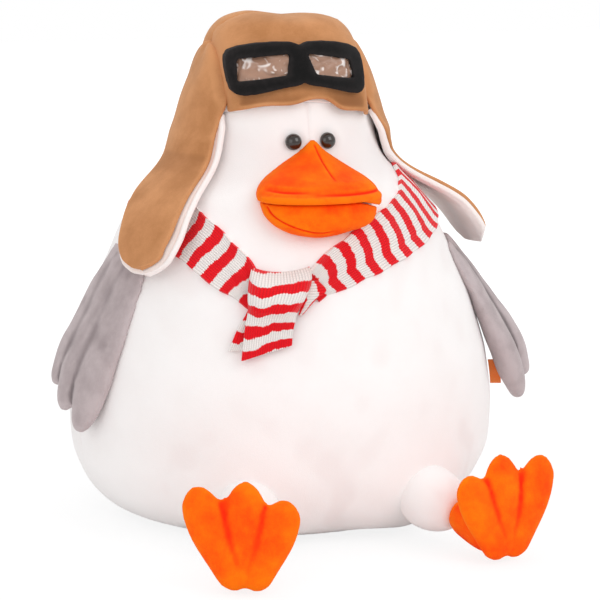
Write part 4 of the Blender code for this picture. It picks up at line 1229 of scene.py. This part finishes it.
def band_place(a, b, c):
    share = np.interp(b, walked, shares)
    turn, middle = band_line(share)
    ahead_turn, ahead_middle = band_line(np.clip(share + 0.004, 0, 1))
    behind_turn, behind_middle = band_line(np.clip(share - 0.004, 0, 1))
    rise = ahead_middle - behind_middle
    run = np.radians(ahead_turn - behind_turn) * girth(middle)
    tilt = np.arctan2(rise, run)
    offset = read(SCARF_HALVES, turn) * (2 * a - 1)
    offset = offset + 0.0004 * np.sin(b * BAND_LENGTH * math.tau / 0.023 + 1.0) * (2 * a - 1) ** 3
    edge = np.abs(2 * a - 1)
    height = middle + offset * np.cos(tilt)
    turn = turn - np.degrees(offset * np.sin(tilt) / girth(middle))
    swell = 0.0007 * np.sin(b * BAND_LENGTH * math.tau / 0.031) * (1 - edge) + 0.0012 * edge**4
    gather = step_up(0.93, 1.0, b) + 1 - step_up(0.0, 0.07, b)
    behind = 0.0014 * step_up(115.0, 150.0, turn) * (1 - step_up(210.0, 245.0, turn))
    return on_body(turn, height, 0.0013 + behind + swell + 0.0016 * gather * np.sin(a * math.pi * 2.5) ** 2)


cut_and_laid(scarf_band, band_place, 0.0026, rounded=False)
BAND_YARN = knit("striped knit band", 0.03, BAND_LENGTH, 0.0)
finish_piece(scarf_band, BAND_YARN, "body", "striped_knit", "scarf_band")
print("scarf round the neck:", round(BAND_LENGTH * 1000), "mm")

# %% [markdown]
# The front end comes out over the top of the knot, bulges over it and hangs down the chest, so knot and end
# are one piece of cloth. A short loop end peeps out on the duck's left of the knot, and the back end lies
# behind the front one and shows only as an edge.

# %% Knot and front end
KNOT_TURN = -17.5
KNOT_TOP = 0.1712
TAIL_END = 0.123
KNOT_LOW = 0.1497
front_end = cloth_grid("scarf_knot_and_front_end", 34, 110)
FRONT_LENGTH = 0.0575
KNOT_SIDE = ((0.0, -0.0145), (0.3, -0.0158), (0.5, -0.0158), (0.74, -0.0172), (1.0, -0.0188))
KNOT_FAR = (
    (0.0, 0.0205), (0.12, 0.0215), (0.39, 0.0172), (0.5, 0.0143), (0.64, 0.0118), (0.8, 0.0108),
    (1.0, 0.0103),
)
KNOT_PROUD = (
    (0.0, 0.001), (0.05, 0.0085), (0.14, 0.0135), (0.3, 0.0152), (0.45, 0.0135), (0.58, 0.0092),
    (0.7, 0.0072), (0.9, 0.0068), (1.0, 0.0064),
)


def front_place(a, b, c):
    down = 1 - b
    height = KNOT_TOP - (KNOT_TOP - TAIL_END) * down
    first, last = read(KNOT_SIDE, down), read(KNOT_FAR, down)
    offset = first + (last - first) * a
    slant = 0.009 * (a - 0.5) * step_up(0.55, 1.0, down) - 0.003 * np.sin(math.pi * a) * (1 - down)
    edge = np.abs(2 * a - 1)
    knot = 1 - step_up(0.5, 0.66, down)
    proud = read(KNOT_PROUD, down) * (1 - 0.72 * knot * edge**5)
    fold = 0.0011 * np.sin(math.pi * (2.4 * a + 0.8 * down)) * knot
    fold = fold + 0.0007 * np.sin(math.pi * 3 * a) * (1 - knot)
    turn = KNOT_TURN + np.degrees(offset / girth(height))
    return on_body(turn, height + slant, proud + fold)


cut_and_laid(front_end, front_place, 0.0028, -1.0)
hinge = as_place(on_body(KNOT_TURN, KNOT_LOW, 0.0104))
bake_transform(front_end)
FRONT_YARN = knit("striped knit front", 0.034, FRONT_LENGTH, 0.0003)
finish_piece(front_end, FRONT_YARN, None, "striped_knit", "scarf_knot", "scarf_tail_front")

LOOP_TOP, LOOP_DROP = 0.1635, 0.0195
LOOP_SIDE = ((0.0, 8.5), (0.4, 8.0), (1.0, 6.4))
LOOP_FAR = ((0.0, 12.8), (0.3, 15.2), (0.6, 11.4), (1.0, 7.6))
loop_end = cloth_grid("scarf_loop_end", 24, 20)


def loop_place(a, b, c):
    first, last = KNOT_TURN + read(LOOP_SIDE, a), KNOT_TURN + read(LOOP_FAR, a)
    proud = 0.0042 + 0.0012 * np.sin(math.pi * b) + 0.0008 * a
    return on_body(first + (last - first) * b, LOOP_TOP - LOOP_DROP * a, proud)


cut_and_laid(loop_end, loop_place, 0.0024, -1.0)
finish_piece(loop_end, knit("striped knit loop", 0.02, 0.0135, -0.0102), "body", "striped_knit")

BACK_TOP, BACK_DROP, BACK_HALF = 0.1506, 0.0278, 0.0112
BACK_WIDTH = ((0.0, 0.35), (0.14, 0.5), (0.28, 0.6), (0.5, 0.82), (1.0, 1.0))
back_end = cloth_grid("scarf_back_end", 16, 40)


def back_place(a, b, c):
    down = 1 - b
    height = BACK_TOP - BACK_DROP * down
    half = BACK_HALF * read(BACK_WIDTH, down)
    turn = -21.5 - 3.5 * down + np.degrees(half * (2 * a - 1) / girth(height))
    return on_body(turn, height, 0.0009 + 0.0007 * np.sin(math.pi * (a * 2 + down)) + 0.0009 * down)


cut_and_laid(back_end, back_place, 0.0026)
BACK_YARN = knit("striped knit back", 0.026, 0.032, 0.0072)
finish_piece(back_end, BACK_YARN, "back_tail", "striped_knit", "scarf_tail_back")

# %% [markdown]
# ## Wings
# Each wing is three long stuffed feathers in grey plush, sewn side by side and gathered at the shoulder. A
# ball is drawn out along each feather's line, the three are joined and remeshed into one skin, and the skin
# is blown up a little, which leaves the sewn valleys between them.

# %% Feathers
WING_ROOT_LIFT = 0.0006
WING_TIP_LIFT = {"left": 0.026, "right": 0.011}
WING_POWER = {"left": 1.3, "right": 3.4}
WING_ROOTS = {"left": (68.5, 80.0, 91.5), "right": (68.0, 76.0, 84.0)}
WING_TIPS = {"left": (72.0, 83.5, 95.0), "right": (74.0, 84.5, 93.5)}
WING_DEEP = {"left": 1.0, "right": 0.8}
WING_SHORT = {"left": 0.02, "right": 0.009}
WING_TWIST = {"left": (0.7, 1.06, 1.14), "right": (1.0, 1.0, 1.0)}
FEATHER_HALF = 0.0157
FEATHER_DEEP = 0.0078
FEATHERS = ((0.552, 0.199, 1.0), (0.562, 0.228, 1.0), (0.566, 0.266, 0.98))
FEATHER_WIDTH = (
    (0.0, 0.5), (0.04, 0.62), (0.2, 0.82), (0.5, 1.0), (0.75, 0.97), (0.9, 0.74), (0.97, 0.45), (1.0, 0.12),
)
FEATHER_DEPTH = (
    (0.0, 0.22), (0.04, 0.25), (0.2, 0.34), (0.4, 0.52), (0.6, 0.82), (0.8, 0.95), (0.92, 0.7),
    (0.98, 0.4), (1.0, 0.15),
)


def tongue(piece, line, wide, deep, facing):
    """Draws a ball out along a line: b runs along it, a across and c through it."""

    def place(a, b, c):
        share = np.clip((b + 1) / 2, 0.0, 1.0)
        centre = np.stack(line(share))
        ahead = np.stack(line(np.clip(share + 0.01, 0, 1)))
        behind = np.stack(line(np.clip(share - 0.01, 0, 1)))
        along = ahead - behind
        along = along / np.maximum(np.linalg.norm(along, axis=0), 1e-9)
        out = np.stack([np.broadcast_to(f, share.shape) for f in facing(share)])
        across = np.cross(along.T, out.T).T
        across = across / np.maximum(np.linalg.norm(across, axis=0), 1e-9)
        out = np.cross(across.T, along.T).T
        size = np.sqrt(np.maximum(1 - b**2, 1e-6))
        return tuple(centre + across * wide(share) * (a / size) + out * deep(share) * (c / size))

    return carry(piece, place)


def feather(name, side, number, grow=0.0008):
    root_turn, tip_turn = WING_ROOTS[side][number], WING_TIPS[side][number]
    root_share, tip_share, wide_share = FEATHERS[number]
    tip_share = tip_share + WING_SHORT[side]
    tip_lift = WING_TIP_LIFT[side] * WING_TWIST[side][number]
    sign = SIDES[side]

    def line(share):
        turn = root_turn + (tip_turn - root_turn) * share
        height = BODY_HEIGHT * (root_share + (tip_share - root_share) * share)
        lift = WING_ROOT_LIFT + (tip_lift - WING_ROOT_LIFT) * share ** WING_POWER[side]
        return on_body(sign * turn, height, lift)

    def facing(share):
        angle = np.radians(sign * (root_turn + (tip_turn - root_turn) * share))
        return np.sin(angle), -np.cos(angle), 0 * angle

    def wide(share):
        return FEATHER_HALF * wide_share * read(FEATHER_WIDTH, share) + grow * step_up(0.0, 0.2, share)

    def deep(share):
        return FEATHER_DEEP * WING_DEEP[side] * read(FEATHER_DEPTH, share) + grow * step_up(0.0, 0.2, share)

    return tongue(round_ball(name, 21), line, wide, deep, facing)


def joined(name, pieces):
    """Joins pieces into one object."""
    bpy.ops.object.select_all(action="DESELECT")
    for piece in pieces:
        piece.select_set(True)
    bpy.context.view_layer.objects.active = pieces[0]
    bpy.ops.object.join()
    return named(name)


for side in SIDES:
    feathers = [outwards_faces(feather(f"feather_{side}_{number}", side, number)) for number in range(3)]
    wing = joined(f"wing_plush_{side}", feathers)
    stuff(wing, 0.0021, pressure=3.0, cap=0.0012, rounds=14)
    ease(wing, 0.5, 3)
    smoother(wing)
    points = points_of(wing)
    x, y, z = points.T
    set_points(wing, points + normals_of(wing) * (0.0005 * ripple(x, y, z, 0.03, SIDES[side]))[:, None])
    soft_shade(wing)
    root_turn = SIDES[side] * WING_ROOTS[side][1]
    root = as_place(on_body(root_turn, BODY_HEIGHT * FEATHERS[1][0], WING_ROOT_LIFT))
    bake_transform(wing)
    finish_piece(wing, GREY_PLUSH, None, "grey_plush", f"wing_{side}")

# %% [markdown]
# ## Legs and feet
# A white thigh swells out of the belly, an orange ankle comes out of the thigh, and the foot is three
# stuffed toes sewn side by side, with thin webs between them.

# %% Legs
HIP_LIFT = 0.012
THIGH_RADIUS, THIGH_FRONT = 0.0195, 0.026
LEG_OUT = {"left": 0.0285, "right": 0.0204}
LEG_FORWARD = {"left": 0.0515, "right": 0.066}
ANKLE_HEIGHT, ANKLE_ALONG = 0.0145, 0.031
FOOT_TURN = {"left": 10.0, "right": 22.0}
THIGH_MOUTH, ANKLE_HALF = 0.0258, 0.0122
FOOT_LEAN, FOOT_LENGTH, FOOT_GAP, TOE_STEP = 8.0, 0.061, 0.0036, 0.003
ANKLE_WIDTH = ((0.0, 0.3), (0.1, 0.75), (0.3, 0.98), (0.7, 1.12), (0.9, 1.0), (1.0, 0.6))
TOE_HALF, TOE_DEEP = 0.0125, 0.0068
TOES = ((-0.35, 0.82), (0.01, 1.0), (0.45, 0.93))
WEBS = ((-0.17, 0.8), (0.22, 0.84))
TOE_WIDTH = (
    (0.0, 0.45), (0.05, 0.75), (0.14, 0.93), (0.3, 0.91), (0.6, 0.96),
    (0.8, 0.92), (0.9, 0.7), (0.97, 0.4), (1.0, 0.12),
)
TOE_DEPTH = ((0.0, 0.4), (0.05, 0.7), (0.14, 0.95), (0.4, 1.0), (0.7, 0.9), (0.9, 0.62), (1.0, 0.16))


def hip(side):
    return spot_on_body(*HIP_PLACE[side], HIP_LIFT)


def heel(side):
    x, y, z = hip(side)
    return np.array([x + SIDES[side] * LEG_OUT[side], y - LEG_FORWARD[side], 0.0])


def leg_line(side):
    way = heel(side) + np.array([0.0, 0.0, ANKLE_HEIGHT]) - hip(side)
    return way / np.linalg.norm(way)


def foot_axes(side):
    angle = math.radians(SIDES[side] * FOOT_TURN[side])
    face = np.array([math.sin(angle), -math.cos(angle), 0.0])
    across = np.array([math.cos(angle), math.sin(angle), 0.0])
    tilt = math.radians(FOOT_LEAN)
    along = np.array([0.0, 0.0, 1.0]) * math.cos(tilt) - face * math.sin(tilt)
    return across, along, np.cross(along, across)


def toe(name, side, cut, thin=0.0005, flat=1.0):
    across, along, face = foot_axes(side)
    aside, share_long = cut
    start = heel(side) + np.array([0.0, 0.0, FOOT_GAP + TOE_STEP * abs(aside)])

    def line(share):
        sweep = np.sin(math.pi / 2 * share)
        spot = start[:, None] + across[:, None] * SIDES[side] * aside * FOOT_LENGTH * sweep
        spot = spot + along[:, None] * FOOT_LENGTH * share_long * share
        return spot[0], spot[1], spot[2]

    def wide(share):
        return TOE_HALF * read(TOE_WIDTH, share) - thin

    def deep(share):
        return np.maximum(TOE_DEEP * flat * read(TOE_DEPTH, share) - thin, 0.0006)

    return tongue(round_ball(name, 19), line, wide, deep, lambda share: tuple(-face))


for side in SIDES:
    way = leg_line(side)
    start = hip(side)
    side_way = np.cross(way, [0.0, 0.0, 1.0])
    side_way = side_way / np.linalg.norm(side_way)
    third = np.cross(side_way, way)

    thigh = round_ball(f"thigh_plush_{side}", 25)

    def thigh_place(a, b, c):
        length = np.where(c > 0, THIGH_FRONT, THIGH_RADIUS) * c
        wide = side_way[:, None] * a + third[:, None] * b
        spots = start[:, None] + THIGH_RADIUS * wide + way[:, None] * length
        return spots[0], spots[1], spots[2]

    carry(thigh, thigh_place)
    points = points_of(thigh)
    mouth = start + way * THIGH_MOUTH
    near = np.linalg.norm(points - mouth, axis=1)
    set_points(thigh, points - way * (0.0022 * (1 - step_up(0.004, 0.013, near)))[:, None])
    soft_shade(outwards_faces(thigh))
    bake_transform(thigh)
    finish_piece(thigh, WHITE_PLUSH, None, "white_plush", f"thigh_{side}")

    ankle_place = start + way * ANKLE_ALONG
    end = heel(side) + np.array([0.0, 0.0, ANKLE_HEIGHT])
    reach = float(np.linalg.norm(end - ankle_place))
    ankle = round_ball(f"ankle_velour_{side}", 21)

    def ankle_line(share):
        spot = ankle_place[:, None] + way[:, None] * (-0.011 + (reach + 0.0085) * share)
        return spot[0], spot[1], spot[2]

    def ankle_wide(share):
        return ANKLE_HALF * read(ANKLE_WIDTH, share)

    tongue(ankle, ankle_line, ankle_wide, ankle_wide, lambda share: (0.0, 0.0, 1.0))
    soft_shade(outwards_faces(ankle))
    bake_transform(ankle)
    finish_piece(ankle, ORANGE_VELOUR, None, "orange_velour", f"ankle_{side}")

    parts = [outwards_faces(toe(f"toe_{side}_{number}", side, cut)) for number, cut in enumerate(TOES)]
    for number, cut in enumerate(WEBS):
        parts.append(outwards_faces(toe(f"web_{side}_{number}", side, cut, flat=0.42)))
    foot = joined(f"foot_velour_{side}", parts)
    stuff(foot, 0.0013, pressure=2.0, cap=0.0006, rounds=10)
    ease(foot, 0.5, 4)
    smoother(foot)
    soft_shade(foot)
    finish_piece(foot, ORANGE_VELOUR, f"foot_{side}", "orange_velour", f"foot_{side}")

# %% [markdown]
# ## The tab in the side seam
# A folded orange ribbon is caught in the seam. It is left bare. A strip folded in two, with a rounded fold,
# reads as ribbon even from far away.

# %% Side tab
TAB_TURN, TAB_LOW, TAB_LONG = 72.0, 0.0773, 0.0154
side_tab = cloth_grid("side_ribbon", 24, 8)


def tab_place(a, b, c):
    fold = 2 * a - 1
    out = 0.0068 * (1 - np.abs(fold) ** 3)
    aside = 0.0005 * np.sign(fold) * (1 - (1 - np.abs(fold)) ** 4)
    x, y, z = on_body(TAB_TURN, TAB_LOW + TAB_LONG * b, 0.0003 + out)
    angle = math.radians(TAB_TURN)
    return x + aside * math.cos(angle), y + aside * math.sin(angle), z


cut_and_laid(side_tab, tab_place, 0.0003, 0.0, rounded=False)
finish_piece(side_tab, RIBBON, "body", "orange_ribbon", "side_tab")

# %% [markdown]
# ## Floor
# The floor is a wide pale sheet that fades into the white behind it. Camera rays see it a little brighter, so
# it reads as white paper and still keeps the duck's soft shadow.

# %% Floor
bpy.ops.object.select_all(action="DESELECT")
bpy.ops.mesh.primitive_plane_add(size=8.0, location=(0.0, 0.0, -0.0003))
floor = named("studio_floor")
FLOOR, floor_shader = plain_finish("studio white", (0.92, 0.92, 0.92), 0.9)
tree = FLOOR.node_tree
far = node(tree, "VectorMath", {0: node(tree, "TexCoord", {}, "Object")}, "Value", operation="LENGTH")
bright = span(tree, far, (0.2, 0.9), (1.05, 1.3))
share = maths(tree, "MULTIPLY", node(tree, "LightPath", {}, "Is Camera Ray"), 0.8)
glow = node(tree, "Emission", {"Strength": bright})
paper = node(tree, "MixShader", {"Fac": share, 1: floor_shader.outputs[0], 2: glow})
feed(tree, paper, tree.nodes["Material Output"].inputs["Surface"])
floor.data.materials.append(FLOOR)

# %% [markdown]
# ## Last step
# The dressed duck has to keep the size of the imported model.

# %% Last step
bpy.ops.object.select_all(action="DESELECT")
